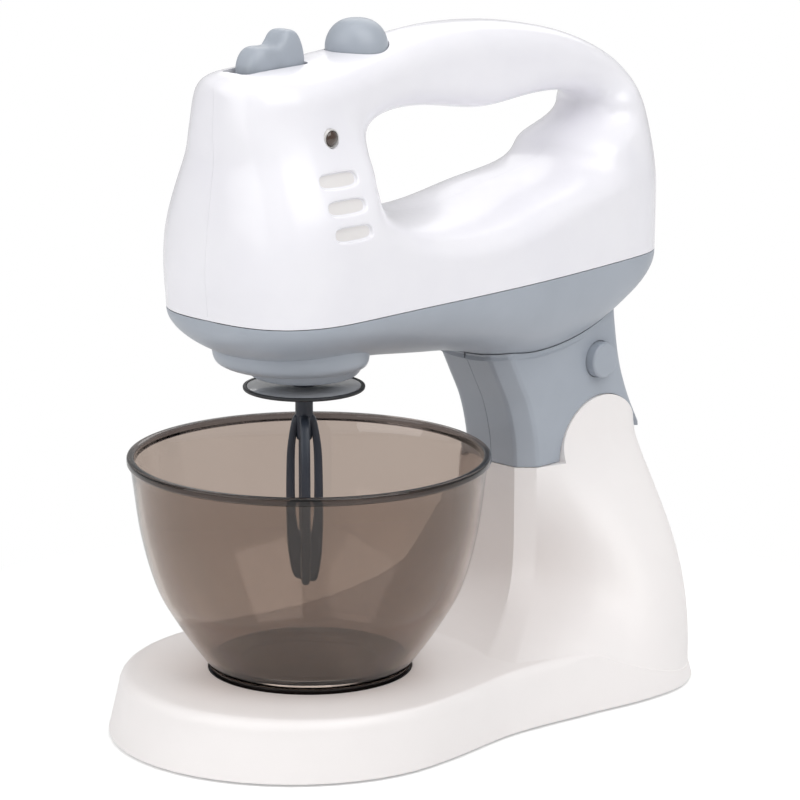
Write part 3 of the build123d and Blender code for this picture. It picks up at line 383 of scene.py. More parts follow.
def grid_faces(rows: int, columns: int, closed_rows: bool, closed_columns: bool) -> np.ndarray:
    """Quads of a grid whose points run along columns first.

    Args:
        rows: points along the first parameter.
        columns: points along the second.
        closed_rows: joins the last row to the first.
        closed_columns: joins the last column to the first.

    Returns:
        Point numbers, four to a face.
    """
    r = np.arange(rows if closed_rows else rows - 1)
    c = np.arange(columns if closed_columns else columns - 1)
    i, j = np.meshgrid(r, c, indexing="ij")
    i2, j2 = (i + 1) % rows, (j + 1) % columns
    corners = [i * columns + j, i2 * columns + j, i2 * columns + j2, i * columns + j2]
    return np.stack(corners, axis=-1).reshape(-1, 4)


def tidy_normals(mesh: bpy.types.Mesh, merge_mm: float = 0.002) -> None:
    """Merges points that coincide, drops faces without area, and turns the normals outwards.

    Args:
        mesh: the mesh to mend.
        merge_mm: the merging distance.
    """
    work = bmesh.new()
    work.from_mesh(mesh)
    bmesh.ops.remove_doubles(work, verts=work.verts, dist=merge_mm / MM_PER_M)
    bmesh.ops.dissolve_degenerate(work, dist=1e-7, edges=work.edges)
    bmesh.ops.recalc_face_normals(work, faces=work.faces)
    work.to_mesh(mesh)
    work.free()


def new_piece(name: str, mesh: bpy.types.Mesh) -> bpy.types.Object:
    """Puts a mesh in the scene as an object at the origin.

    Args:
        name: the piece's name.
        mesh: its mesh, placed in the frame.

    Returns:
        The new object.
    """
    piece = bpy.data.objects.new(name, mesh)
    bpy.context.scene.collection.objects.link(piece)
    return piece


def finish_piece(
    piece: bpy.types.Object,
    finish: Finish,
    crease: float,
    body: Body,
    node: str | None = None,
) -> None:
    """Shades and dresses a piece that has its last mesh, and puts it on its body.

    Args:
        piece: the piece.
        finish: its finish.
        crease: degrees past which an edge stays sharp.
        body: the body that it rides on.
        node: the node that it takes the place of.
    """
    piece.data.shade_smooth()
    piece.data.set_sharp_from_angle(angle=math.radians(crease))
    piece.data.materials.clear()
    piece.data.materials.append(finish.material())
    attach(piece, body.value)
    if node:
        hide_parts(node)


def mesh_of_grids(name: str, grids: list[tuple[Grid, bool, bool]], merge_mm: float = 0.002) -> bpy.types.Mesh:
    """One mesh of several grids.

    Args:
        name: the mesh's name.
        grids: each grid with whether its rows and its columns are closed.
        merge_mm: the merging distance.

    Returns:
        A smooth-shaded mesh in the frame's metres.
    """
    points, faces, count = [], [], 0
    for (x, y, z), closed_rows, closed_columns in grids:
        points.append(to_frame(x, y, z))
        faces.append(grid_faces(x.shape[0], x.shape[1], closed_rows, closed_columns) + count)
        count += x.size
    mesh = bpy.data.meshes.new(name)
    mesh.from_pydata(np.concatenate(points).tolist(), [], np.concatenate(faces).tolist())
    tidy_normals(mesh, merge_mm)
    mesh.shade_smooth()
    return mesh


def revolved(profile: np.ndarray, x: float, y: float, around: int = 128) -> Grid:
    """Surface of revolution about an upright axis: (r cos a, r sin a, z) for each profile point (r, z).

    Args:
        profile: radius and height of each point.
        x: place of the axis.
        y: place of the axis.
        around: rows round the axis.

    Returns:
        The grid, whose rows go round.
    """
    angle = np.linspace(0, 2 * np.pi, around, endpoint=False)
    r, z = profile[:, 0], profile[:, 1]
    return x + np.outer(np.cos(angle), r), y + np.outer(np.sin(angle), r), np.outer(np.ones(around), z)


def rounded_corners(corners: list[tuple[float, float, float]], steps: int = 5) -> np.ndarray:
    """A profile through corners, each rounded by an arc of its own radius.

    Args:
        corners: (along, up, radius) of each corner in order; the ends aren't rounded.
        steps: arc points to a corner.

    Returns:
        Profile points, two to a row. Each arc is a quadratic blend of the points one radius from the corner.
    """
    out = [np.array(corners[0][:2], dtype=float)]
    for before, here, after in zip(corners, corners[1:], corners[2:]):
        p, a, b = (np.array(c[:2], dtype=float) for c in (here, before, after))
        to_a, to_b = a - p, b - p
        reach = min(here[2], 0.45 * np.linalg.norm(to_a), 0.45 * np.linalg.norm(to_b))
        start = p + to_a / np.linalg.norm(to_a) * reach
        end = p + to_b / np.linalg.norm(to_b) * reach
        if reach < 1e-6:
            out.append(p)
            continue
        for t in np.linspace(0, 1, steps):
            out.append((1 - t) ** 2 * start + 2 * t * (1 - t) * p + t * t * end)
    out.append(np.array(corners[-1][:2], dtype=float))
    return np.array(out)


def wall(piece: bpy.types.Object, thickness_mm: float) -> None:
    """Gives an open skin its wall, inwards.

    Args:
        piece: the skin.
        thickness_mm: the wall's thickness.
    """
    solid = piece.modifiers.new("wall", "SOLIDIFY")
    solid.thickness = thickness_mm / MM_PER_M
    solid.offset = -1
    solid.use_even_offset = False
    bake_modifiers(piece)


def bake_modifiers(piece: bpy.types.Object) -> None:
    """Replaces a piece's mesh by its finished one and drops the modifiers.

    Args:
        piece: the piece.
    """
    bpy.context.view_layer.update()
    graph = bpy.context.evaluated_depsgraph_get()
    done = bpy.data.meshes.new_from_object(piece.evaluated_get(graph))
    piece.modifiers.clear()
    piece.data = done


def carve(piece: bpy.types.Object, mesh: bpy.types.Mesh, how: Carve = Carve.CUT) -> None:
    """Cuts a closed mesh out of a piece, or keeps only what the mesh holds.

    Args:
        piece: the piece, with its wall.
        mesh: the closed mesh, in the frame.
        how: cut or keep.
    """
    tool = bpy.data.objects.new("cutter", mesh)
    bpy.context.scene.collection.objects.link(tool)
    boolean = piece.modifiers.new("carve", "BOOLEAN")
    boolean.operation = how.value
    boolean.solver = "EXACT"
    boolean.object = tool
    bake_modifiers(piece)
    bpy.data.objects.remove(tool)


def prism(name: str, outline: np.ndarray, low: float, high: float, upright: bool = False) -> bpy.types.Mesh:
    """Closed prism along X, or along Z: an outline carried between two places, with flat ends.

    Args:
        name: the mesh's name.
        outline: points in (y, z), or in (x, y) for an upright prism.
        low: first end.
        high: other end.
        upright: whether it runs along Z.

    Returns:
        A closed mesh.
    """
    middle = np.broadcast_to(outline.mean(axis=0), outline.shape)
    rows = np.stack([middle, outline, outline, middle])
    along = np.array([low, low, high, high])[:, None] + 0 * rows[..., 0]
    grid = (rows[..., 0], rows[..., 1], along) if upright else (along, rows[..., 0], rows[..., 1])
    return mesh_of_grids(name, [(grid, False, True)])


def circle(centre: tuple[float, float], radius: float, count: int) -> np.ndarray:
    """Circle of a few points about a centre: (r cos a, r sin a)."""
    a = np.linspace(0, 2 * np.pi, count, endpoint=False)
    return np.stack([radius * np.cos(a), radius * np.sin(a)], axis=1) + np.array(centre)


def rounded_box(centre: tuple[float, float], half_a: float, half_b: float, radius: float) -> np.ndarray:
    """Rectangle with round corners: a quarter circle about each corner's centre.

    Args:
        centre: its middle.
        half_a: half its first side.
        half_b: half its second side.
        radius: radius of its corners.

    Returns:
        Points in turn, two numbers to a row.
    """
    out = []
    for k, (sa, sb) in enumerate([(1, 1), (-1, 1), (-1, -1), (1, -1)]):
        a = np.linspace(0, np.pi / 2, 8) + k * np.pi / 2
        across = sa * (half_a - radius) + radius * np.cos(a)
        up = sb * (half_b - radius) + radius * np.sin(a)
        out.append(np.stack([across, up], axis=1))
    return np.concatenate(out) + np.array(centre)


@dataclass
class CarriedNodes:
    """The frame's own nodes: each visible one gets a merged smooth copy, and every one gets its finish."""

    crease_degrees: float = 28.0
    merge_mm: float = 0.002
    copied: tuple[str, ...] = ("bottom_cover", "rubber_feet", "pivot_cap", "release_button", "door_screw")

    def build(self) -> None:
        """Dresses the nodes and copies the visible ones."""
        bodies = {n: b for b, nodes in frame["record"]["behaviour"]["bodies"].items() for n in nodes}
        for name, node in frame["nodes"].items():
            node.data.materials.clear()
            node.data.materials.append(NODE_FINISH[name].material())
            if name in self.copied:
                self.copy_of(name, node, Body(bodies[name]))

    def copy_of(self, name: str, node: bpy.types.Object, body: Body) -> None:
        """Makes one merged copy.

        Args:
            name: the node's name.
            node: its object.
            body: the body that it rides on.
        """
        mesh = node.data.copy()
        mesh.name = f"{name}_merged"
        work = bmesh.new()
        work.from_mesh(mesh)
        bmesh.ops.remove_doubles(work, verts=work.verts, dist=self.merge_mm / MM_PER_M)
        work.to_mesh(mesh)
        work.free()
        stored = mesh.attributes.get("custom_normal")
        if stored:
            mesh.attributes.remove(stored)
        piece = new_piece(f"{name}_piece", mesh)
        finish_piece(piece, NODE_FINISH[name], self.crease_degrees, body, node=name)
        log.info("copied %s", name)


@dataclass
class HeadForm:
    """The head's outer form: side outlines and a half width for each place in the side view."""

    seam_z: float = 168.0
    front_y: float = -51.5
    rear_y: float = 182.0
    centre_y: float = 81.0
    centre_z: float = 217.0
    opening_long: float = 67.0
    opening_tall: float = 19.5
    nose_depth: float = 41.5
    rear_depth: float = 25.0
    top_depth: float = 15.5
    opening_depth: float = 16.0
    grip_half: float = 15.5
    snout_half: float = 26.0
    snout_y: tuple[float, float] = (-25.0, 60.0)
    flank_z: tuple[float, float] = (194.0, 250.0)
    nose_power: float = 2.9
    top_power: float = 2.7
    rear_power: float = 2.4
    opening_power: float = 2.3
    waves: int = 5
    ray_limit: float = 190.0

    def __post_init__(self) -> None:
        """Sets the outline curves, which repeat the frame's own."""
        f, r = self.front_y, self.rear_y
        self.top: Curve = [
            (f + 1.5, 245.0), (-48.8, 252.6), (-46, 256.8), (-40, 259.2), (-28, 260.0), (-8, 260.5),
            (10, 261.6), (26, 263.4), (45, 265.9), (67, 267.7), (90, 267.0), (110, 264.5), (133, 259.3),
            (152, 252.0), (165, 244.0), (174, 234.0), (179.5, 221.0), (r, 205.0),
        ]
        self.front: Curve = [
            (168, f), (186, f - 1.3), (201, f), (216, f + 2), (228, f + 3.6), (238, f + 3.3), (250, f + 4),
        ]
        self.rear: Curve = [(168, r), (190, r + 0.5), (205, r + 0.2), (222, r - 1)]
        self.belly: Curve = [
            (f, 168.0), (-50.4, 162.5), (-47, 157.8), (-42, 154.0), (-34, 150.8), (-18, 147.6), (0, 146.0),
            (20, 144.6), (40, 142.6), (60, 140.6), (78, 137.0), (92, 133.4), (107, 131.4), (125, 132.6),
            (142, 137.0), (158, 145.0), (170, 153.5), (178, 161.0), (r, 168.0),
        ]
        self.plan: Curve = [
            (-40, 42.0), (-18, 42.0), (25, 40.6), (55, 40.0), (92, 38.0), (135, 33.0), (160, 29.0), (r, 25.0),
        ]
        loop = np.array([
            (147.5, 229.0), (139.0, 235.0), (122.0, 235.2), (103.0, 233.6), (80.0, 234.2), (58.0, 236.6),
            (38.0, 238.0), (21.0, 233.5), (13.5, 221.0), (17.0, 207.5), (33.0, 199.4), (58.0, 197.2),
            (86.0, 199.2), (112.0, 204.6), (133.0, 213.0), (145.0, 221.0),
        ])
        across = (loop[:, 0] - self.centre_y) / self.opening_long
        up = (loop[:, 1] - self.centre_z) / self.opening_tall
        phase = np.arctan2(up, across)[:, None] * np.arange(1, self.waves + 1)
        terms = np.concatenate([np.ones((len(loop), 1)), np.cos(phase), np.sin(phase)], axis=1)
        self.opening_terms = np.linalg.lstsq(terms, np.hypot(across, up), rcond=None)[0]

    def opening_share(self, turn: np.ndarray) -> tuple[np.ndarray, np.ndarray]:
        """Radius of the handle opening in stretched space: a sum of five waves round the turn.

        Args:
            turn: angle in stretched space.

        Returns:
            The radius, and its slope along the turn.
        """
        waves = np.arange(1, self.waves + 1)
        base, c, s = np.split(self.opening_terms, [1, self.waves + 1])
        phase = turn[..., None] * waves
        share = base + (np.cos(phase) * c + np.sin(phase) * s).sum(axis=-1)
        return share, ((np.cos(phase) * s - np.sin(phase) * c) * waves).sum(axis=-1)

    def opening_reach(self, angle: np.ndarray) -> np.ndarray:
        """Distance from the opening's centre to its outline along a ray at an angle."""
        across, up = np.cos(angle) / self.opening_long, np.sin(angle) / self.opening_tall
        return self.opening_share(np.arctan2(up, across))[0] / np.hypot(across, up)

    def opening_gap(self, y: np.ndarray, z: np.ndarray) -> np.ndarray:
        """Distance from the handle opening's outline, negative inside.

        It is G/|grad G|, where G is the stretched radius of the place less the outline's there.

        Args:
            y: place along the head.
            z: height.

        Returns:
            The distance.
        """
        across, up = (y - self.centre_y) / self.opening_long, (z - self.centre_z) / self.opening_tall
        reach = np.maximum(np.hypot(across, up), 1e-6)
        share, slope = self.opening_share(np.arctan2(up, across))
        along_y = (across / reach + slope * up / reach**2) / self.opening_long
        along_z = (up / reach - slope * across / reach**2) / self.opening_tall
        return (reach - share) / np.maximum(np.hypot(along_y, along_z), 1e-6)

    def belly_power(self, y: np.ndarray) -> np.ndarray:
        """Power of the belly's superellipse: 1.95 at the lean nose, and 2.4 from the middle on."""
        return 1.95 + 0.45 * soft_step(y, 5, 75)

    def outline_gap(self, y: np.ndarray, z: np.ndarray) -> np.ndarray:
        """Least distance inside the head's side outline, measured along Y and Z.

        Args:
            y: place along the head.
            z: height.

        Returns:
            The distance, negative outside.
        """
        gaps = [
            y - smooth_curve(self.front, z), smooth_curve(self.top, y) - z,
            smooth_curve(self.rear, z) - y, z - smooth_curve(self.belly, y),
        ]
        return np.min(gaps, axis=0)

    def half_width(self, y: np.ndarray, z: np.ndarray, inset: float = 0.0) -> np.ndarray:
        """Half width: a full width times the roundings at the front, top, rear, belly and handle opening.

        Args:
            y: place along the head.
            z: height.
            inset: distance inside the outer form.

        Returns:
            The half width.
        """
        top = self.grip_half + (self.snout_half - self.grip_half) * (1 - soft_step(y, *self.snout_y))
        plan = smooth_curve(self.plan, y)
        width = top + (plan - top) * (1 - soft_step(z, *self.flank_z)) - inset
        nose = y - smooth_curve(self.front, z) - inset
        width = width * edge_round(nose, self.nose_depth - inset, self.nose_power)
        top_gap = smooth_curve(self.top, y) - z - inset
        width = width * edge_round(top_gap, self.top_depth - inset, self.top_power)
        rear_gap = smooth_curve(self.rear, z) - y - inset
        width = width * edge_round(rear_gap, self.rear_depth - inset, self.rear_power)
        floor = smooth_curve(self.belly, y)
        depth = np.maximum(self.seam_z - floor - inset, 0.1)
        belly = edge_round(z - floor - inset, depth, self.rear_power)
        width = np.where(z < self.seam_z, width * belly, width)
        opening = self.opening_gap(y, z) - inset
        return width * edge_round(opening, self.opening_depth - inset, self.opening_power)

    def half_at(self, place: tuple[float, float]) -> float:
        """Half width of the head at one place in (y, z)."""
        return float(self.half_width(np.array([[place[0]]]), np.array([[place[1]]]))[0, 0])

    def far_reach(self, angle: np.ndarray, inset: float = 0.0) -> np.ndarray:
        """Length of rays from the opening's centre to the inset side outline, found by halving.

        Args:
            angle: the rays' angles.
            inset: distance inside the outline.

        Returns:
            The lengths.
        """
        low = self.opening_reach(angle) + inset
        high = np.full(angle.shape, self.ray_limit)
        for _ in range(30):
            middle = (low + high) / 2
            y, z = self.centre_y + middle * np.cos(angle), self.centre_z + middle * np.sin(angle)
            inside = self.outline_gap(y, z) > inset
            low, high = np.where(inside, middle, low), np.where(inside, high, middle)
        return low


@dataclass
class HeadShells:
    """White shells of the head: a skin on rays round the handle opening, with vents pressed in."""

    form: HeadForm
    seam_gap: float = 0.16
    middle_gap: float = 0.03
    vent_length: float = 18.8
    vent_height: float = 5.8
    vent_depth: float = 1.5
    vent_places: tuple[tuple[float, float], ...] = ((-16.0, 220.7), (-15.4, 211.1), (-14.8, 201.5))
    lens_place: tuple[float, float] = (-14.7, 235.5)
    door_place: tuple[float, float] = (89.0, 181.5)
    door_screw: tuple[float, float] = (115.0, 181.5)
    screw_places: tuple[tuple[float, float], ...] = ((-34, 180), (8, 232), (92, 251), (166, 205), (132, 182))
    screw_radius: float = 2.9
    wall_mm: float = 2.2
    slot_half: tuple[float, float] = (7.2, 16.65)
    slot_y: float = -21.35
    dome_y: float = 26.0
    dome_hole: float = 12.4
    ring_hole: float = 3.75
    door_half: tuple[float, float] = (29.3, 9.8)
    door_gap: float = 0.3

    def half_skin(self, angle: np.ndarray, inset: float, columns: int) -> Grid:
        """Grid of one skin of the right half, on rays from the handle opening's centre.

        Each row is a ray from the opening's edge to the side outline or seam. Its points are closer together
        at both ends: share (1 - cos(pi i/n))/2. Across it, x is the head's half width at that place.

        Args:
            angle: the rays' angles.
            inset: distance inside the outer form.
            columns: points to a ray.

        Returns:
            The grid.
        """
        f = self.form
        near = f.opening_reach(angle) + inset
        far = f.far_reach(angle, inset)
        down = np.sin(angle) < -0.05
        drop = f.seam_z + self.seam_gap - f.centre_z
        to_seam = np.where(down, drop / np.where(down, np.sin(angle), -1), 1e9)
        end = np.minimum(far, to_seam)
        t = (1 - np.cos(np.pi * np.linspace(0, 1, columns))) / 2
        radius = near[:, None] + (end - near)[:, None] * t[None, :]
        y = f.centre_y + radius * np.cos(angle)[:, None]
        z = f.centre_z + radius * np.sin(angle)[:, None]
        x = f.half_width(y, z, inset)
        x[:, 0] = 0.0
        x[:, -1] = np.where(far < to_seam, 0.0, x[:, -1])
        return np.maximum(x, self.middle_gap), y, z

    def skin(self, side: Side) -> Grid:
        """Closed skin of one shell: each row runs out along the outer form and back along the inner one.

        Rays stand closer together near the seam's two ends, where the outline turns a corner.

        Args:
            side: right or left.

        Returns:
            The grid, closed both ways.
        """
        f = self.form
        steps = np.array([0.004, 0.02, 0.08, 0.2, 0.45, 0.8, 1.3, 2, 3, 4.3, 6, 8, 10.5])
        drop = f.seam_z + self.seam_gap - f.centre_z
        corners = np.concatenate([
            np.arctan2(drop, f.front_y + steps - f.centre_y), np.arctan2(drop, f.rear_y - steps - f.centre_y),
            np.arctan2(drop + steps, f.front_y - f.centre_y), np.arctan2(drop + steps, f.rear_y - f.centre_y),
        ])
        even = np.linspace(-np.pi, np.pi, 400, endpoint=False)
        angle = np.unique(np.round(np.concatenate([even, corners]), 6))
        outer = self.half_skin(angle, 0.0, 84)
        inner = self.half_skin(angle, self.wall_mm, 26)
        x, y, z = (np.concatenate([a, b[:, ::-1]], axis=1) for a, b in zip(outer, inner))
        return x * side.value, y, z

    def slot_outline(
        self, place: tuple[float, float], offset: np.ndarray, count: int,
    ) -> tuple[np.ndarray, np.ndarray]:
        """Rings of a vent's outline: a circle whose halves stand apart, with its radius moved by each offset.

        Args:
            place: the vent's centre in (y, z).
            offset: distance outwards of each ring, one column each.
            count: points round a ring.

        Returns:
            y and z of the rings.
        """
        turn = np.linspace(0, 2 * np.pi, count, endpoint=False)[:, None]
        reach = (self.vent_length - self.vent_height) / 2
        ends = np.sign(np.cos(turn)) * reach * (1 - (1 - np.abs(np.cos(turn))) ** 3)
        radius = self.vent_height / 2 + offset
        return place[0] + ends + radius * np.cos(turn), place[1] + radius * np.sin(turn)

    def vent_tool(self, side: Side, place: tuple[float, float]) -> bpy.types.Mesh:
        """Cutter of one vent: a round-ended slot with a floor that follows the skin and a soft-edged rim.

        Each ring of the grid is the slot's outline moved by an offset, at its depth under the head's skin.

        Args:
            side: right or left.
            place: the vent's centre in (y, z).

        Returns:
            A closed mesh.
        """
        d, r = self.vent_depth, self.vent_height / 2
        rings = [
            (-r, d), (-r + 1, d), (-0.75, d), (-0.4, d * 0.93), (-0.2, d * 0.78), (-0.1, d * 0.55),
            (-0.02, d * 0.38), (0.12, d * 0.22), (0.33, d * 0.08), (0.6, 0.02), (0.95, -0.05), (0.95, -5),
            (-r, -5),
        ]
        offset, depth = (np.array(v)[None, :] for v in zip(*rings))
        y, z = self.slot_outline(place, offset, 120)
        x = self.form.half_width(y, z) - depth
        return mesh_of_grids("vent_tool", [((x * side.value, y, z), True, False)], 0.0005)

    def painted_shade_vent_floors(self) -> None:
        """Thin plates of painted shade on the floors of all six vents, following the skin just above the cut.
        """
        offset = np.array([-self.vent_height / 2, 1 - self.vent_height / 2, -0.8, -0.35])[None, :]
        grids = []
        for side in Side:
            for place in self.vent_places:
                y, z = self.slot_outline(place, offset, 96)
                x = self.form.half_width(y, z) - self.vent_depth + 0.04
                grids.append(((x * side.value, y, z), True, False))
        piece = new_piece("painted_shade_vent_floors", mesh_of_grids("painted_shade_vent_floors", grids))
        finish_piece(piece, VENT_PAINTED_SHADE, 180, Body.HEAD)

    def lens(self) -> None:
        """Brown domed lens and the silver ring round it, turned about X on the right side."""
        y, z = self.lens_place
        out = self.form.half_at(self.lens_place)
        turn = np.linspace(0, np.pi / 2, 14)
        dome = np.stack([2.9 * np.sin(turn), out - 0.3 + 1.3 * np.cos(turn)], axis=1)
        glass = np.concatenate([dome, [(2.9, out - 3), (0, out - 3)]])
        ring = np.array([
            (2.95, out - 2.5), (2.95, out), (3.1, out + 0.35), (3.4, out + 0.4), (3.68, out + 0.1),
            (3.7, out - 2.5),
            (2.95, out - 2.5),
        ])
        for name, profile, finish, slot, node in (
            ("indicator_lens_piece", glass, LENS, "lens_brown", "indicator_lens"),
            ("indicator_ring", ring, SILVER, "white_shell", None),
        ):
            across, up, far = revolved(profile, 0, 0, 48)
            piece = new_piece(name, mesh_of_grids(name, [((far, across + y, up + z), True, False)]))
            finish_piece(piece, finish, 50, Body.HEAD, node)

    def build(self) -> None:
        """Builds both shells with their openings."""
        slot = rounded_box((0.0, self.slot_y), *self.slot_half, 3.0)
        dome = circle((0.0, self.dome_y), self.dome_hole, 96)
        for side, node in ((Side.RIGHT, "shell_right"), (Side.LEFT, "shell_left")):
            piece = new_piece(f"{node}_piece", mesh_of_grids(f"{node}_skin", [(self.skin(side), True, True)]))
            tools = [
                prism("slot_tool", slot, 251.0, 290.0, upright=True),
                prism("dome_tool", dome, 251.0, 290.0, upright=True),
            ]
            tools += [self.vent_tool(side, place) for place in self.vent_places]
            if side is Side.RIGHT:
                tools.append(prism("lens_tool", circle(self.lens_place, self.ring_hole, 48), 18.0, 60.0))
            else:
                self.door(piece)
                door = rounded_box(self.door_place, *self.door_half, 3.3)
                tools.append(prism("door_tool", door, -60.0, -18.0))
                for place in self.screw_places:
                    tools.append(prism("screw_tool", circle(place, self.screw_radius, 48), -60.0, -6.0))
                self.screw_wells()
            for tool in tools:
                carve(piece, tool)
            finish_piece(piece, HEAD_WHITE, 40, Body.HEAD, node)
            log.info("built %s with %d faces", node, len(piece.data.polygons))
        # The darker plates on the vent floors are painted shade.
        self.painted_shade_vent_floors()
        self.lens()

    def door(self, shell: bpy.types.Object) -> None:
        """Battery door: the left shell's own skin inside a slightly smaller outline, with a screw hole.

        Args:
            shell: the left shell with its wall, before anything is cut.
        """
        piece = new_piece("battery_door_piece", shell.data.copy())
        half_long, half_tall = (half - self.door_gap for half in self.door_half)
        outline = rounded_box(self.door_place, half_long, half_tall, 3.0)
        carve(piece, prism("door_keeper", outline, -60.0, -18.0), Carve.KEEP)
        carve(piece, prism("door_screw_tool", circle(self.door_screw, self.screw_radius, 48), -60.0, -18.0))
        finish_piece(piece, HEAD_WHITE, 40, Body.DOOR, "battery_door")

    def screw_wells(self) -> None:
        """Wells for the left shell's screws: a tube along X with a floor round the screw's shank."""
        grids = []
        for place in self.screw_places:
            outer = self.form.half_at(place)
            profile = np.array([
                (self.screw_radius + 1, outer - 1.6), (self.screw_radius, outer - 1.6),
                (self.screw_radius, outer - 4.0), (1.5, outer - 4.0),
            ])
            across, up, out = revolved(profile, 0, 0, 48)
            grids.append(((-out, across + place[0], up + place[1]), True, False))
        piece = new_piece("shell_left_wells", mesh_of_grids("wells", grids))
        finish_piece(piece, HEAD_WHITE, 40, Body.HEAD)


@dataclass
class LowerCover:
    """Grey belly under the seam, with the stepped boss round the beater."""

    form: HeadForm
    beater_y: float = -2.5
    seam_gap: float = 0.16
    lip: float = 0.8
    dish_radius: float = 22.9
    tier_radius: float = 36.8
    tier_middle: float = 29.6
    tier_shift: float = 7.0

    def belly(self) -> Grid:
        """Belly skin: at each y, a superellipse quarter from the seam down to the belly line, both sides.

        Returns:
            The grid, open along both parameters.
        """
        f = self.form
        along = (1 - np.cos(np.linspace(0, np.pi, 220))) / 2
        y = (f.front_y + 0.01 + (f.rear_y - f.front_y - 0.02) * along)[:, None]
        turn = np.linspace(0, np.pi / 2, 44)[None, :]
        floor = smooth_curve(f.belly, y)
        top = f.seam_z - self.seam_gap
        power = f.belly_power(y)
        z = top - (top - floor) * np.sin(turn) ** (2 / power)
        x = f.half_width(y, np.full(y.shape, f.seam_z)) * np.cos(turn) ** (2 / power)
        y = y + 0 * z
        x = np.concatenate([np.maximum(x[:, :1] - self.lip, 0), x], axis=1)
        y = np.concatenate([y[:, :1], y], axis=1)
        z = np.concatenate([z[:, :1], z], axis=1)
        return tuple(np.concatenate([v, way * v[:, -2::-1]], axis=1) for v, way in ((x, -1), (y, 1), (z, 1)))

    def boss(self) -> Grid:
        """Stepped boss: a turned dish under a wider tier that reaches furthest at the nose and fades behind.

        Outside the dish, whose radius is d, a profile radius r becomes d + (r - d)(t - d)/(36.8 - d), and the
        tier's radius at each angle is t = 29.6 - 7 sin a.

        Returns:
            The grid, whose rows go round.
        """
        dish = self.dish_radius
        profile = rounded_corners([
            (6.9, 146.0, 0), (6.9, 139.2, 0.4), (15.0, 138.9, 4.0), (20.6, 140.2, 3.5), (dish, 144.0, 0.8),
            (24.2, 144.2, 0.8), (31.5, 144.8, 3.5), (35.6, 147.0, 2.5), (self.tier_radius, 150.4, 2.0),
            (self.tier_radius - 0.2, 159.0, 0),
        ], 7)
        angle = np.linspace(0, 2 * np.pi, 160, endpoint=False)[:, None]
        radius = profile[:, 0][None, :]
        tier = self.tier_middle - self.tier_shift * np.sin(angle)
        widened = dish + (radius - dish) * (tier - dish) / (self.tier_radius - dish)
        radius = np.where(radius > dish, widened, radius)
        z = profile[:, 1][None, :] + 0 * radius
        return radius * np.cos(angle), self.beater_y + radius * np.sin(angle), z

    def build(self) -> None:
        """Builds the cover as one piece."""
        mesh = mesh_of_grids("lower_cover_skin", [(self.belly(), False, False), (self.boss(), True, False)])
        piece = new_piece("lower_cover_piece", mesh)
        finish_piece(piece, GREY_BLUE, 45, Body.HEAD, "lower_cover")
        log.info("built lower_cover")


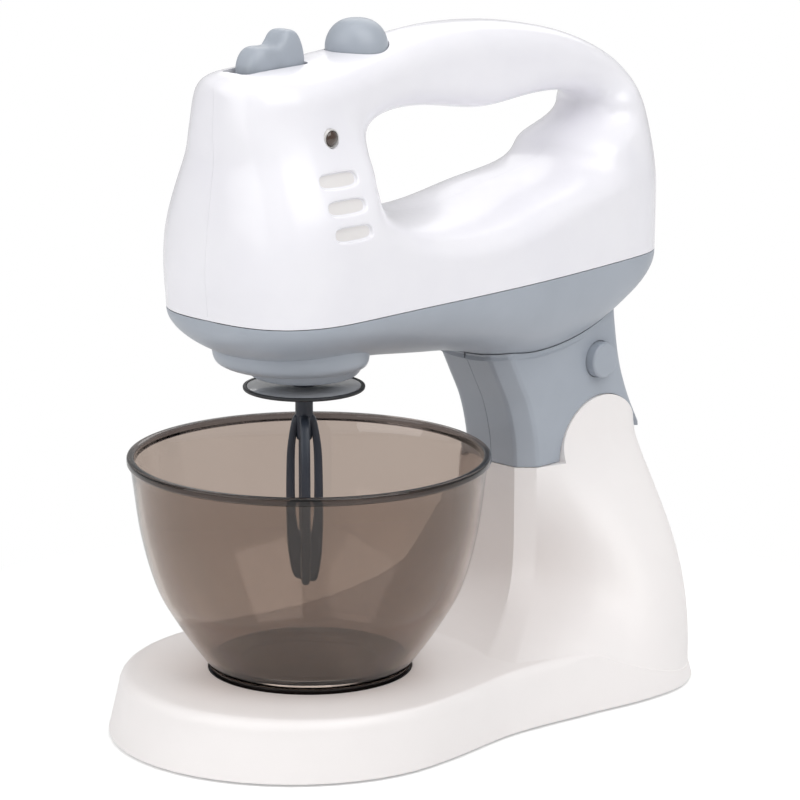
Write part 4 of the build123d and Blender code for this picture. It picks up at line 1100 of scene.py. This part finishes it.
@dataclass
class Stand:
    """White stand: base plate and pillar in one moulding, with two ears that hold the neck's pivot."""

    bottom: float = 1.0
    plateau: float = 24.0
    draft: float = 6.2
    edge: float = 4.6
    top: float = 87.0
    centre_y: float = 125.0
    pivot_y: float = 145.0
    pivot_z: float = 86.5
    ear_radius: float = 24.4
    table_radius: float = 39.2
    flare_power: float = 6.5
    skirt_top: float = 103.0
    top_fall: float = 0.167
    front_radius: float = 72.9
    front_y: float = 101.0
    rear_y: float = 170.0
    flat_half: float = 13.0
    flat_spread: float = 29.0
    front_reach: float = 45.0
    front_bow: float = 10.0
    flat_end: float = 0.12
    flank_start: float = 0.18
    inset: float = 2.9
    underside: float = 3.8
    well_front: float = 118.0
    well_half: float = 14.6

    def __post_init__(self) -> None:
        """Sets the base plate's plan, and the height at which its wall meets the plateau or the skirt."""
        turn = np.radians([-20, 0, 20, 40, 60, 80, 99.5])
        r = self.front_radius
        front = np.stack([r * np.sin(turn), -7.5 - r * np.cos(turn)], axis=1)
        side = [
            (67.6, 44), (71.0, 84), (74.3, 114), (72.0, 138), (59.5, 156.5), (32, 166.8), (0, self.rear_y),
            (-32, 166.8),
        ]
        points = np.concatenate([front, side])
        place = np.concatenate([[0], np.cumsum(np.hypot(*np.diff(points, axis=0).T))])
        at = np.linspace(place[1], place[-2], 500)
        x = smooth_curve(list(zip(place, points[:, 0])), at)
        y = smooth_curve(list(zip(place, points[:, 1])), at)
        self.plan_angle, self.plan_reach = np.arctan2(x, self.centre_y - y), np.hypot(x, self.centre_y - y)
        self.skirt: Curve = [
            (0, 0.0), (0.1, 0.02), (self.top_fall, 0.08), (0.29, 0.26), (0.49, 0.55), (0.646, 0.73),
            (0.8, 0.865),
            (0.9, 0.935), (1, 1.0),
        ]
        self.crease: Curve = [
            (66, 24.0), (82, 23.8), (92, 21.5), (102, 17.5), (120, 11.5), (138, 7.2), (158, 6.0),
        ]

    def section(self, u: np.ndarray, share: np.ndarray, fall: np.ndarray) -> Grid:
        """Plan of the pillar where share runs from 0 at its top to 1 at its foot.

        The front and its chamfers flare out with share^6.5, and the sides follow the skirt curve at fall. The
        flank is one smooth curve through five places, whose weights are those of smooth_curve.

        Args:
            u: place round the right half of the plan, 0 at the front middle and 1 at the rear middle.
            share: height share below the pillar's top, one column each.
            fall: height share below the skirt's start.

        Returns:
            x and y of each place, and the share.
        """
        wing, skirt = share**self.flare_power, smooth_curve(self.skirt, fall)
        flat_x, flat_y = self.flat_half + self.flat_spread * wing, self.front_y - self.front_reach * wing
        corner = (19.6 + 36.0 * wing, 107.0 - 50.0 * wing)
        side = (20.5 + 51.5 * skirt, 148.0 - 24.0 * share)
        middle = (corner[0] + (side[0] - corner[0]) * 0.59, corner[1] + (side[1] - corner[1]) * 0.44)
        rear = (side[0] * (0.86 - 0.03 * share), side[1] + (self.rear_y - side[1]) * (0.84 - 0.1 * share))
        stops = [corner, middle, side, rear, (0 * share, self.rear_y + 0 * share), (-rear[0], rear[1])]
        v = np.clip((u - self.flank_start) / (1 - self.flank_start), 0, 1)
        places = (0.0, 0.27, 0.56, 0.79, 1.0, 1.21)
        x, y = 0 * u * share, 0 * u * share
        for k, stop in enumerate(stops):
            weight = smooth_curve([(p, float(i == k)) for i, p in enumerate(places)], v)
            x = x + weight * stop[0]
            y = y + weight * stop[1]
        t = np.clip(u / self.flat_end, 0, 1)
        x = np.where(u <= self.flat_end, flat_x * t, x)
        y = np.where(u <= self.flat_end, flat_y + self.front_bow * wing * (1 - t * t), y)
        t = np.clip((u - self.flat_end) / (self.flank_start - self.flat_end), 0, 1)
        chamfer = (u > self.flat_end) & (u < self.flank_start)
        x = np.where(chamfer, flat_x + (corner[0] - flat_x) * t, x)
        y = np.where(chamfer, flat_y + (corner[1] - flat_y) * t, y)
        return x, y, share + 0 * u

    def places_round(self) -> np.ndarray:
        """Places round the right half of the pillar's plan, closer together where the ear's arc starts.

        Returns:
            One column of rising places from 0 to 1.
        """
        dense = np.linspace(self.flank_start, 0.7, 3000)[:, None]
        near_arc = self.pivot_y - self.ear_radius + np.array([
            -0.4, 0.0, 0.03, 0.1, 0.2, 0.35, 0.55, 0.8, 1.1, 1.5, 2.0, 2.6, 3.4, 4.4,
        ])
        dense_y = self.section(dense, np.zeros((1, 1)), np.full((1, 1), self.top_fall))[1]
        return np.unique(np.concatenate([
            np.linspace(0, self.flat_end, 16), np.linspace(self.flat_end, self.flank_start, 8),
            np.linspace(self.flank_start, 1, 170), np.interp(near_arc, dense_y[:, 0], dense[:, 0]),
        ]))[:, None]

    def skin(self) -> Grid:
        """Whole outer skin as one closed grid.

        Each row starts under the middle of the stand, and runs out to the base's edge, up its drafted wall,
        over a quarter-round onto the plateau, in to the pillar's foot, up to the ear's arc, and in to
        the mid-plane. Behind the bowl the wall's height falls and the pillar's skirt runs straight into it.

        Returns:
            The grid, whose rows close on themselves.
        """
        u = self.places_round()
        foot_x, foot_y, _ = self.section(u, np.ones((1, 1)), np.ones((1, 1)))
        angle = np.arctan2(foot_x, self.centre_y - foot_y)
        foot = np.hypot(foot_x, self.centre_y - foot_y)
        plan = np.interp(angle, self.plan_angle, self.plan_reach)
        plan_y = self.centre_y - plan * np.cos(angle)
        crease = smooth_curve(self.crease, plan_y)
        edge = self.edge * (1 - soft_step(plan_y, 68, 96)) + 0.5
        slope = self.draft / (self.plateau - self.bottom)
        wall_top = crease - edge
        rim = plan - slope * (wall_top - self.bottom) - edge
        pull = np.minimum(1 + (rim / foot - 1) * soft_step(plan_y, 66, 88), rim / foot)
        rise = np.linspace(0.05, 1, 8)[None, :]
        wall_z = self.bottom + 0.6 + (wall_top - self.bottom - 0.6) * rise
        turn = np.linspace(0, np.pi / 2, 9)[None, 1:]
        inward = np.array([0.03, 0.08, 0.16, 0.28, 0.42, 0.56, 0.7, 0.82, 0.91, 0.97])[None, :]
        reach = np.concatenate([
            0 * plan, plan - self.inset, plan - self.inset, plan - 0.6, plan - 0.15,
            plan - slope * (wall_z - self.bottom), rim + edge * np.cos(turn),
            rim + (foot * pull - rim) * inward,
        ], axis=1)
        low = [height + 0 * plan for height in (self.underside, self.underside, self.bottom, self.bottom)]
        z = np.concatenate([
            *low, self.bottom + 0.25 + 0 * plan, wall_z, wall_top + edge * np.sin(turn), crease + 0 * inward,
        ], axis=1)
        x = reach * np.sin(angle)
        y = self.centre_y - reach * np.cos(angle)
        up = np.linspace(0, 1, 80)[None, :] ** 1.7
        side_z = crease + (self.top - crease) * up
        span = self.skirt_top - crease
        side_x, side_y, share = self.section(u, 1 - up, (self.skirt_top - side_z) / span)
        grow = 1 + (pull - 1) * share**3
        side_x, side_y = side_x * grow, self.centre_y + (side_y - self.centre_y) * grow
        top_y = side_y[:, -1:]
        arc = self.pivot_z + np.sqrt(np.maximum(self.ear_radius**2 - (top_y - self.pivot_y) ** 2, 0))
        arc = np.maximum(arc, self.top)
        ear_z = self.top + (arc - self.top) * np.linspace(0.08, 1, 12)[None, :]
        ear_x, ear_y, _ = self.section(u, 0 * ear_z[:1], np.maximum(self.skirt_top - ear_z, 0) / span)
        top_x, top_y = ear_x[:, -1:], ear_y[:, -1:]
        to_well = np.clip(u / u[np.argmax(top_y[:, 0] >= self.well_front)], 0, 1)
        middle_y = self.front_y + (self.well_front - self.front_y) * to_well
        middle_y = np.where(top_y < self.well_front, middle_y, top_y)
        inside = np.array([0.25, 0.6, 1.0])[None, :]
        x = np.concatenate([x, side_x, ear_x, top_x * (1 - inside)], axis=1)
        y = np.concatenate([y, side_y, ear_y, top_y + (middle_y - top_y) * inside], axis=1)
        z = np.concatenate([z, side_z, ear_z, arc + 0 * inside], axis=1)
        return tuple(np.concatenate([v, way * v[-2:0:-1]], axis=0) for v, way in ((x, -1), (y, 1), (z, 1)))

    def build(self) -> None:
        """Builds the stand and cuts the neck's well, the turntable's recess and the pivot cap's pocket."""
        piece = new_piece("base_shell_piece", mesh_of_grids("base_shell_skin", [(self.skin(), True, False)]))
        well = np.array([(118.6, 74.0), (200.0, 74.0), (200.0, 130.0), (118.6, 130.0)])
        carve(piece, prism("well_tool", well, -self.well_half, self.well_half))
        recess = circle((0.0, 0.0), self.table_radius + 0.5, 160)
        carve(piece, prism("recess_tool", recess, 21.3, 40.0, upright=True))
        carve(piece, prism("cap_tool", circle((self.pivot_y, self.pivot_z), 4.15, 48), -30.0, -18.05))
        finish_piece(piece, STAND_WHITE, 24, Body.STAND, "base_shell")
        log.info("built base_shell with %d faces", len(piece.data.polygons))
        self.turntable()

    def turntable(self) -> None:
        """Black turntable: a turned disc in the recess, with the ring that centres the bowl's foot."""
        r, z = self.table_radius, self.plateau - 0.7
        profile = rounded_corners([
            (0, z - 1.8, 0), (r, z - 1.8, 0.2), (r, z, 0.4), (34.4, z, 0.1), (34.4, z + 2.0, 0.4),
            (27.6, z + 2.0, 0.4), (27.6, z, 0.1), (0, z, 0),
        ], 4)
        mesh = mesh_of_grids("turntable_skin", [(revolved(profile, 0, 0, 160), True, False)])
        finish_piece(new_piece("turntable_piece", mesh), BLACK, 40, Body.CARRIER, "turntable")


@dataclass
class Neck:
    """Tilting neck: upright plans from the ears' arch up to the saddle that cradles the belly."""

    form: HeadForm
    half: float = 19.6
    flat: float = 13.2
    pivot_y: float = 145.0
    pivot_z: float = 86.5
    arch: float = 24.7
    foot_z: float = 87.3
    rear_foot_z: float = 94.0
    saddle_gap: float = 0.4
    wall_mm: float = 2.3
    rear_round: float = 4.2
    button_place: tuple[float, float] = (143.0, 126.0)
    button_hole: float = 7.6
    saddle_power: float = 2.4

    def __post_init__(self) -> None:
        """Sets the front and rear lines, which repeat the frame's own."""
        self.front: Curve = [(87.3, 101.3), (99, 100.2), (113, 96.4), (125, 90.4), (136, 85.0), (150, 80.5)]
        self.rear: Curve = [(95.5, 170.0), (109, 163.0), (123, 158.0), (140, 155.0), (156, 153.5)]

    def plan(self, u: np.ndarray, z: np.ndarray) -> tuple[np.ndarray, np.ndarray]:
        """Plan of the neck at a height: flat front, soft chamfer, straight side, round rear corner.

        Args:
            u: place round the plan, 0 at the front middle and 1 at the rear middle.
            z: height.

        Returns:
            x and y. The corners are blended by a quadratic arc through each corner.
        """
        yf, yr = smooth_curve(self.front, z), smooth_curve(self.rear, z)
        flat, half, corner = self.flat, self.half, self.rear_round
        stops = [0.0, 0.13, 0.17, 0.25, 0.29, 0.80, 0.87, 1.0]
        xs = [0.0, flat - 1.0, flat + 0.6, half - 0.7, half, half, half - corner, 0.0]
        ys = [yf, yf, yf + 0.55, yf + 5.7, yf + 7.4, yr - corner, yr, yr]
        x = np.zeros(z.shape)
        y = np.zeros(z.shape)
        for i in range(len(stops) - 1):
            inside = (u >= stops[i]) & (u <= stops[i + 1])
            t = (u - stops[i]) / (stops[i + 1] - stops[i])
            across, along = (1 - np.cos(t * np.pi / 2), np.sin(t * np.pi / 2)) if i == 5 else (t, t)
            x = np.where(inside, xs[i] + (xs[i + 1] - xs[i]) * across, x)
            y = np.where(inside, ys[i] + (ys[i + 1] - ys[i]) * along, y)
        return x, y

    def skin(self, side: Side) -> Grid:
        """Skin of one half: each place round the plan runs straight up from the lower edge to the saddle.

        Args:
            side: right or left.

        Returns:
            The grid: rows go round the plan and columns go up.
        """
        f = self.form
        u = np.unique(np.concatenate([
            np.linspace(0, 0.13, 10), np.linspace(0.13, 0.29, 22), np.linspace(0.29, 0.8, 90),
            np.linspace(0.8, 0.87, 14), np.linspace(0.87, 1, 10),
        ]))[:, None]
        heights = np.linspace(self.foot_z, 120, 1400)[None, :]
        _, y_column = self.plan(u + 0 * heights, heights + 0 * u)
        in_arch = np.hypot(y_column - self.pivot_y, heights - self.pivot_z) < self.arch
        below_rear = (y_column > self.pivot_y) & (heights < self.rear_foot_z)
        low = np.where(in_arch | below_rear, heights, self.foot_z).max(axis=1, keepdims=True)
        high = np.full(u.shape, 150.0)
        for _ in range(30):
            x, y = self.plan(u, high)
            ready = np.clip(np.abs(x) / np.maximum(f.half_width(y, np.full(y.shape, f.seam_z)), 1), 0, 1)
            depth = f.seam_z - smooth_curve(f.belly, y)
            under = f.seam_z - depth * (1 - ready**self.saddle_power) ** (1 / self.saddle_power)
            high = 0.5 * high + 0.5 * (under - self.saddle_gap)
        t = np.linspace(0, 1, 60)[None, :]
        z = low + (high - low) * t
        x, y = self.plan(u + 0 * z, z)
        x = np.maximum(x, 0.12)
        in_x = np.where(x[:, -1:] > 0.2, x[:, -1:] * 0.97, x[:, -1:])
        middle = (smooth_curve(self.front, z[:, -1:]) + smooth_curve(self.rear, z[:, -1:])) / 2
        in_y = y[:, -1:] + (middle - y[:, -1:]) * 0.02
        x = np.concatenate([x, in_x], axis=1)
        y = np.concatenate([y, in_y], axis=1)
        z = np.concatenate([z, z[:, -1:] - 0.25], axis=1)
        return x * side.value, y, z

    def build(self) -> None:
        """Builds both halves."""
        for side, node in ((Side.RIGHT, "neck_right"), (Side.LEFT, "neck_left")):
            mesh = mesh_of_grids(f"{node}_skin", [(self.skin(side), False, False)])
            piece = new_piece(f"{node}_piece", mesh)
            wall(piece, self.wall_mm)
            if side is Side.RIGHT:
                hole = circle(self.button_place, self.button_hole, 64)
                carve(piece, prism("button_tool", hole, 14.0, 30.0))
            finish_piece(piece, GREY_BLUE, 32, Body.NECK, node)
            log.info("built %s", node)


@dataclass
class Bowl:
    """Clear bowl: a turned profile with a rolled lip and a short foot ring."""

    foot_z: float = 23.6
    height: float = 85.0
    rim: float = 70.0
    wall_mm: float = 2.2

    def profile(self) -> np.ndarray:
        """Closed profile: up the outside along a smooth curve, round the lip, and down the inside.

        Returns:
            Points of (radius, height) from the middle of the underside to the middle of the floor.
        """
        z0, top = self.foot_z, self.foot_z + self.height
        low, high = z0 + 2.4, top - 3.3
        outside: Curve = [
            (low, 39.0), (z0 + 8, 43.4), (z0 + 18.8, 50.9), (z0 + 33, 58.9), (z0 + 54, 64.8), (top - 7, 68.2),
            (high, 69.0),
        ]
        up = np.linspace(low, high, 90)
        skin = np.stack([smooth_curve(outside, up), up], axis=1)
        down = np.linspace(high, z0 + 6.6, 90)
        thickness = self.wall_mm * (1 + 0.35 * (top - down) / self.height)
        inner = np.stack([smooth_curve(outside, down) - thickness, down], axis=1)
        foot = np.array([(0, z0 + 2.3), (38.4, z0 + 2.3)])
        floor = rounded_corners([tuple(inner[-1]) + (0,), (36.0, z0 + 4.7, 3.0), (0, z0 + 4.7, 0)], 6)[1:]
        return np.concatenate([foot, skin, inner, floor])

    def rings(self) -> tuple[np.ndarray, np.ndarray]:
        """Closed profiles of the rolled rim and of the foot ring.

        Returns:
            Points of (radius, height) of each.
        """
        z0, top, r = self.foot_z, self.foot_z + self.height, self.rim
        rim = rounded_corners([
            (r - 3.3, top - 3.2, 0), (r - 1.0, top - 3.2, 0.3), (r, top - 2.8, 0.6), (r, top, 1.3),
            (r - 3.0, top, 1.2), (r - 3.3, top - 3.2, 0),
        ], 6)
        foot = rounded_corners([
            (31.6, z0 + 2.2, 0), (31.6, z0, 0.3), (38.6, z0, 0.6), (39.2, z0 + 2.2, 0), (31.6, z0 + 2.2, 0),
        ], 4)
        return rim, foot

    def build(self) -> None:
        """Builds the bowl, and its rim and foot in the denser tint."""
        rim, foot = self.rings()
        for name, profile, around, finish, node in (
            ("mixing_bowl_piece", self.profile(), 288, SMOKE, "mixing_bowl"),
            ("bowl_rim", rim, 192, SMOKE_EDGE, None),
            ("bowl_foot", foot, 192, SMOKE_EDGE, None),
        ):
            mesh = mesh_of_grids(name, [(revolved(profile, 0, 0, around), True, False)])
            finish_piece(new_piece(name, mesh), finish, 50, Body.BOWL, node)
        log.info("built mixing_bowl")


@dataclass
class Controls:
    """Dome button and two-lobed slider on top of the head."""

    dome_y: float = 26.0
    dome_radius: float = 12.1
    dome_base_z: float = 262.0
    dome_height: float = 11.8
    slider_y: float = -33.5
    slider_length: float = 29.0
    slider_half: float = 6.7
    slider_base_z: float = 255.5
    slider_power: float = 3.6

    def dome(self) -> None:
        """Dome: a turned skirt that closes in to a low crown, with a stem below."""
        b, r, rise = self.dome_base_z, self.dome_radius, self.dome_height - 1.0
        crown = np.linspace(0, np.pi / 2, 26)
        cap = np.stack([r * np.cos(crown) ** 0.8, b + 1.0 + rise * np.sin(crown) ** 1.08], axis=1)
        skirt = rounded_corners([
            (0, 241.0, 0), (4.0, 241.0, 0.4), (4.0, b - 5, 0.2), (r - 0.2, b - 5, 0.4), (r, b + 1.0, 0),
        ], 4)
        profile = np.concatenate([skirt[:-1], cap])
        profile[-1, 0] = 0
        mesh = mesh_of_grids("dome_skin", [(revolved(profile, 0, self.dome_y, 96), True, False)])
        piece = new_piece("dome_button_piece", mesh)
        finish_piece(piece, GREY_BLUE, 50, Body.DOME, "dome_button")

    def slider(self) -> None:
        """Slider: superellipse plans of power 3.6, with a slight waist, under a two-lobed top line.

        Each column is a ray in plan. Its height at share s of the way out is the top line's height, with
        what stands above the rim lowered by (1 - s^7)^(1/2.2).
        """
        y0, n = self.slider_y, self.slider_length
        b = self.slider_base_z
        line: Curve = [
            (y0, b + 8.4), (y0 + 2.5, b + 11.2), (y0 + 6.5, b + 12.4), (y0 + 13.0, b + 12.3),
            (y0 + 15.4, b + 13.2),
            (y0 + 17.6, b + 16.4), (y0 + 20.0, b + 17.7), (y0 + 24.2, b + 17.4), (y0 + 27.0, b + 14.8),
            (y0 + n, b + 10.5),
        ]
        angle = np.linspace(0, 2 * np.pi, 120, endpoint=False)[:, None]
        share = np.concatenate([np.linspace(0, 0.8, 22), np.linspace(0.82, 1, 16)])[None, :]
        p = self.slider_power
        cx = np.sign(np.cos(angle)) * np.abs(np.cos(angle)) ** (2 / p)
        cy = np.sign(np.sin(angle)) * np.abs(np.sin(angle)) ** (2 / p)
        waist = 1 - 0.10 * np.exp(-(((cy * n / 2 + 1.2) / 4.0) ** 2))
        x = self.slider_half * cx * waist * share
        y = y0 + n / 2 + n / 2 * cy * share
        rim = b + 4.0
        z = rim + (smooth_curve(line, y) - rim) * (1 - share**7) ** (1 / 2.2)
        low_x, low_y = self.slider_half * cx * waist, y0 + n / 2 + n / 2 * cy
        skirt_z = np.array([b + 2.0, b])[None, :] + 0 * low_x
        x = np.concatenate([x, low_x + 0 * skirt_z, 0 * low_x], axis=1)
        y = np.concatenate([y, low_y + 0 * skirt_z, 0 * low_y + y0 + n / 2], axis=1)
        z = np.concatenate([z, skirt_z, 0 * low_x + b], axis=1)
        piece = new_piece("speed_slider_piece", mesh_of_grids("slider_skin", [((x, y, z), True, False)]))
        finish_piece(piece, GREY_BLUE, 60, Body.SLIDER, "speed_slider")

    def build(self) -> None:
        """Builds the dome button and the slider."""
        self.dome()
        self.slider()
        log.info("built controls")


@dataclass
class Whisk:
    """Beater of two crossing closed loops on a shank, with a splash disc above."""

    axis_y: float = -2.5
    bottom: float = 57.0
    top: float = 124.5
    wide: float = 16.5
    narrow: float = 7.1
    blade_width: float = 3.4
    slant: float = 0.22
    turn_degrees: float = -42.0
    crossing_degrees: float = 88.0

    def loop(self, half: float, thick: float, web: float, turn: float) -> Grid:
        """A closed loop with a rounded flat section carried between an outer and an inner curve.

        Each curve is (h sin a |sin a|^-0.7, mean height - span cos a), squeezed towards the shank at the top.
        The inner one is a blade's width inside, and its lowest point is a web's height above the outer one's.

        Args:
            half: half width of the loop.
            thick: thickness across the blade.
            web: height of the solid web at the bottom.
            turn: turn about the upright axis in radians.

        Returns:
            The grid, closed both ways.
        """
        a = np.linspace(0, 2 * np.pi, 160, endpoint=False)[:, None]
        squeeze = 1 - 0.12 * soft_step(-np.cos(a), 0.5, 1.0) - 0.06 * soft_step(np.cos(a), 0.5, 1.0)
        round_a = np.sign(np.sin(a)) * np.abs(np.sin(a)) ** 0.30 * squeeze
        low = self.bottom + web
        high = self.top - 3.2
        out_x, out_z = half * round_a, (self.top + self.bottom) / 2 - (self.top - self.bottom) / 2 * np.cos(a)
        in_x, in_z = (half - self.blade_width) * round_a, (high + low) / 2 - (high - low) / 2 * np.cos(a)
        s = np.linspace(0, 2 * np.pi, 20, endpoint=False)[None, :]
        flat = np.sign(np.cos(s)) * np.abs(np.cos(s)) ** 0.6
        x = (out_x + in_x) / 2 + (out_x - in_x) / 2 * flat
        z = (out_z + in_z) / 2 + (out_z - in_z) / 2 * flat
        z = z + self.slant * (half - x) * soft_step(np.cos(a), 0.1, 1.0)
        y = np.sign(np.sin(s)) * np.abs(np.sin(s)) ** 0.6 * thick / 2 + 0 * a
        return (
            x * math.cos(turn) - y * math.sin(turn),
            self.axis_y + x * math.sin(turn) + y * math.cos(turn),
            z,
        )

    def build(self) -> None:
        """Builds the loops and shank as one piece, and the disc."""
        turn = math.radians(self.turn_degrees)
        shank = rounded_corners([
            (0, 113.5, 0), (3.0, 114.5, 1.0), (3.4, 121.0, 1.0), (3.4, 134.2, 0.3), (4.2, 134.4, 0.2),
            (4.2, 138.5, 0.5), (3.0, 138.7, 0.2), (3.0, 153.4, 0.5), (0, 154.0, 0),
        ], 4)
        mesh = mesh_of_grids("whisk_skin", [
            (self.loop(self.wide, 3.7, 13.0, turn), True, True),
            (self.loop(self.narrow, 4.2, 19.0, turn + math.radians(self.crossing_degrees)), True, True),
            (revolved(shank, 0, self.axis_y, 48), True, False),
        ])
        finish_piece(new_piece("beater_piece", mesh), SLATE, 50, Body.WHISK, "beater")
        self.disc()
        log.info("built beater")

    def disc(self) -> None:
        """Splash disc: a black dished plate with a pale grey upper face that is painted reflection, both
        turned.
        """
        low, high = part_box("splash_disc")
        z0, z1, r = low.z * MM_PER_M, high.z * MM_PER_M, (high.x - low.x) / 2 * MM_PER_M
        under = rounded_corners([
            (4.3, z1 - 0.5, 0), (4.3, z0 + 0.2, 0.2), (r - 3.0, z0, 1.0), (r, z0 + 0.7, 0.6), (r, z1, 0.5),
            (r - 1.3, z1, 0.2), (r - 1.5, z1 - 0.45, 0.1), (4.3, z1 - 0.5, 0),
        ], 5)
        face = rounded_corners([
            (4.4, z1 - 0.45, 0), (r - 1.6, z1 - 0.4, 0), (r - 1.6, z1 - 0.15, 0.1), (4.4, z1 - 0.1, 0),
            (4.4, z1 - 0.45, 0),
        ], 3)
        # The pale face is painted reflection laid on the black disc.
        for name, profile, finish, node in (
            ("splash_disc_piece", under, BLACK, "splash_disc"), ("splash_disc_painted_reflection", face, DISC_PAINTED_REFLECTION, None),
        ):
            mesh = mesh_of_grids(name, [(revolved(profile, 0, self.axis_y, 128), True, False)])
            finish_piece(new_piece(name, mesh), finish, 40, Body.WHISK, node)


@dataclass
class Studio:
    """Pale floor, soft lamps and the camera at the photograph's angle."""

    camera_at: tuple[float, float, float] = (1.0774, -1.0281 + BOWL_AXIS_Y / MM_PER_M, 0.4786)
    azimuth: float = 45.0
    down: float = 13.2
    lens_mm: float = 180.0
    floor_reach: float = 6.0
    lamp_reach: float = 1.6
    lamp_target: tuple[float, float, float] = (0.0, 0.0, 0.13)
    nearly_upright: float = 0.99
    lamps: tuple[tuple[str, float, float, float, float], ...] = (
        ("key", 88, 46, 1.3, 11.5), ("fill", -12, 30, 1.5, 9), ("top", 30, 84, 1.2, 6),
        ("back", 215, 40, 1.2, 5),
    )

    def seen_directly(self, tree: bpy.types.NodeTree) -> bpy.types.NodeSocket:
        """Adds the test for rays from the camera, also through glass.

        Args:
            tree: the floor's or the world's node tree.

        Returns:
            The socket that is 1 for such a ray.
        """
        path = add_node(tree, "ShaderNodeLightPath")
        rays = {0: path.outputs["Is Camera Ray"], 1: path.outputs["Is Transmission Ray"]}
        return add_node(tree, "ShaderNodeMath", {".operation": "MAXIMUM"}, rays).outputs["Value"]

    def floor(self) -> None:
        """Floor that is white to the camera past the object's shadow, and plain matt paper to other rays."""
        mesh = bpy.data.meshes.new("floor")
        r = self.floor_reach
        mesh.from_pydata([(-r, -r, 0), (r, -r, 0), (r, r, 0), (-r, r, 0)], [], [(0, 1, 2, 3)])
        floor = bpy.data.objects.new("floor", mesh)
        bpy.context.scene.collection.objects.link(floor)
        paper, tree = empty_material("white_paper_floor")
        matt = add_node(tree, "ShaderNodeBsdfDiffuse", {"Color": (0.86, 0.86, 0.86, 1)})
        glow = add_node(tree, "ShaderNodeEmission", {"Color": (1, 1, 1, 1), "Strength": 0.32})
        white = add_node(tree, "ShaderNodeEmission", {"Color": (1, 1, 1, 1), "Strength": 1.0})
        place = add_node(tree, "ShaderNodeTexCoord")
        far = add_node(
            tree, "ShaderNodeVectorMath", {".operation": "LENGTH"}, {"Vector": place.outputs["Object"]},
        )
        fade = add_node(
            tree, "ShaderNodeMapRange", {"From Min": 0.13, "From Max": 0.26}, {"Value": far.outputs["Value"]},
        )
        near = add_node(
            tree, "ShaderNodeAddShader", None, {0: matt.outputs["BSDF"], 1: glow.outputs["Emission"]},
        )
        seen = add_node(
            tree,
            "ShaderNodeMixShader",
            None,
            {"Fac": fade.outputs["Result"], 1: near.outputs["Shader"], 2: white.outputs["Emission"]},
        )
        pick = add_node(
            tree,
            "ShaderNodeMixShader",
            None,
            {"Fac": self.seen_directly(tree), 1: matt.outputs["BSDF"], 2: seen.outputs["Shader"]},
        )
        add_node(tree, "ShaderNodeOutputMaterial", None, {"Surface": pick.outputs["Shader"]})
        mesh.materials.append(paper)

    def world(self) -> None:
        """World: white where the camera looks at it, also through glass, and a plain soft light elsewhere."""
        world = bpy.data.worlds.new("studio")
        bpy.context.scene.world = world
        world.use_nodes = True
        tree = world.node_tree
        tree.nodes.clear()
        soft = add_node(tree, "ShaderNodeBackground", {"Color": (1, 1, 1, 1), "Strength": 0.42})
        white = add_node(tree, "ShaderNodeBackground", {"Color": (1, 1, 1, 1), "Strength": 1.0})
        pick = add_node(
            tree,
            "ShaderNodeMixShader",
            None,
            {"Fac": self.seen_directly(tree), 1: soft.outputs["Background"], 2: white.outputs["Background"]},
        )
        add_node(tree, "ShaderNodeOutputWorld", None, {"Surface": pick.outputs["Shader"]})

    def lamp(self, name: str, azimuth: float, height: float, size: float, power: float) -> None:
        """Adds one square soft lamp that looks at the mixer.

        Args:
            name: its name.
            azimuth: its side, as the camera's azimuth is counted.
            height: its angle above the floor in degrees.
            size: its side in metres.
            power: its power in watts.
        """
        a, e = math.radians(azimuth), math.radians(height)
        toward = np.array([math.sin(a) * math.cos(e), -math.cos(a) * math.cos(e), math.sin(e)])
        data = bpy.data.lights.new(name, "AREA")
        data.size = size
        data.energy = power
        light = bpy.data.objects.new(name, data)
        bpy.context.scene.collection.objects.link(light)
        place = np.array(self.lamp_target) + toward * self.lamp_reach
        z = toward / np.linalg.norm(toward)
        x = np.array([1.0, 0, 0]) if abs(z[2]) >= self.nearly_upright else np.cross((0, 0, 1), z)
        x = x / np.linalg.norm(x)
        turn = np.eye(4)
        turn[:3] = np.stack([x, np.cross(z, x), z, place], axis=1)
        light.matrix_world = Matrix(turn.tolist())

    def camera(self) -> None:
        """Camera: level, looking down by the photograph's angle, with a long lens."""
        data = bpy.data.cameras.new("camera")
        data.lens = self.lens_mm
        data.sensor_width = 36.0
        data.clip_start = 0.05
        camera = bpy.data.objects.new("camera", data)
        bpy.context.scene.collection.objects.link(camera)
        camera.location = self.camera_at
        camera.rotation_euler = (math.radians(90 - self.down), 0, math.radians(self.azimuth))
        bpy.context.scene.camera = camera

    def build(self) -> None:
        """Builds the floor, world, lamps and camera."""
        bpy.context.scene.view_settings.view_transform = "Standard"
        self.floor()
        self.world()
        for lamp in self.lamps:
            self.lamp(*lamp)
        self.camera()
        log.info("built studio")


def main() -> None:
    """Builds every sub-assembly in order."""
    Studio().build()
    form = HeadForm()
    parts = (
        CarriedNodes(), Stand(), HeadShells(form), LowerCover(form), Neck(form), Bowl(), Controls(), Whisk(),
    )
    for part in parts:
        part.build()
        log.info("finished %s", type(part).__name__)


if __name__ == "__main__":
    main()
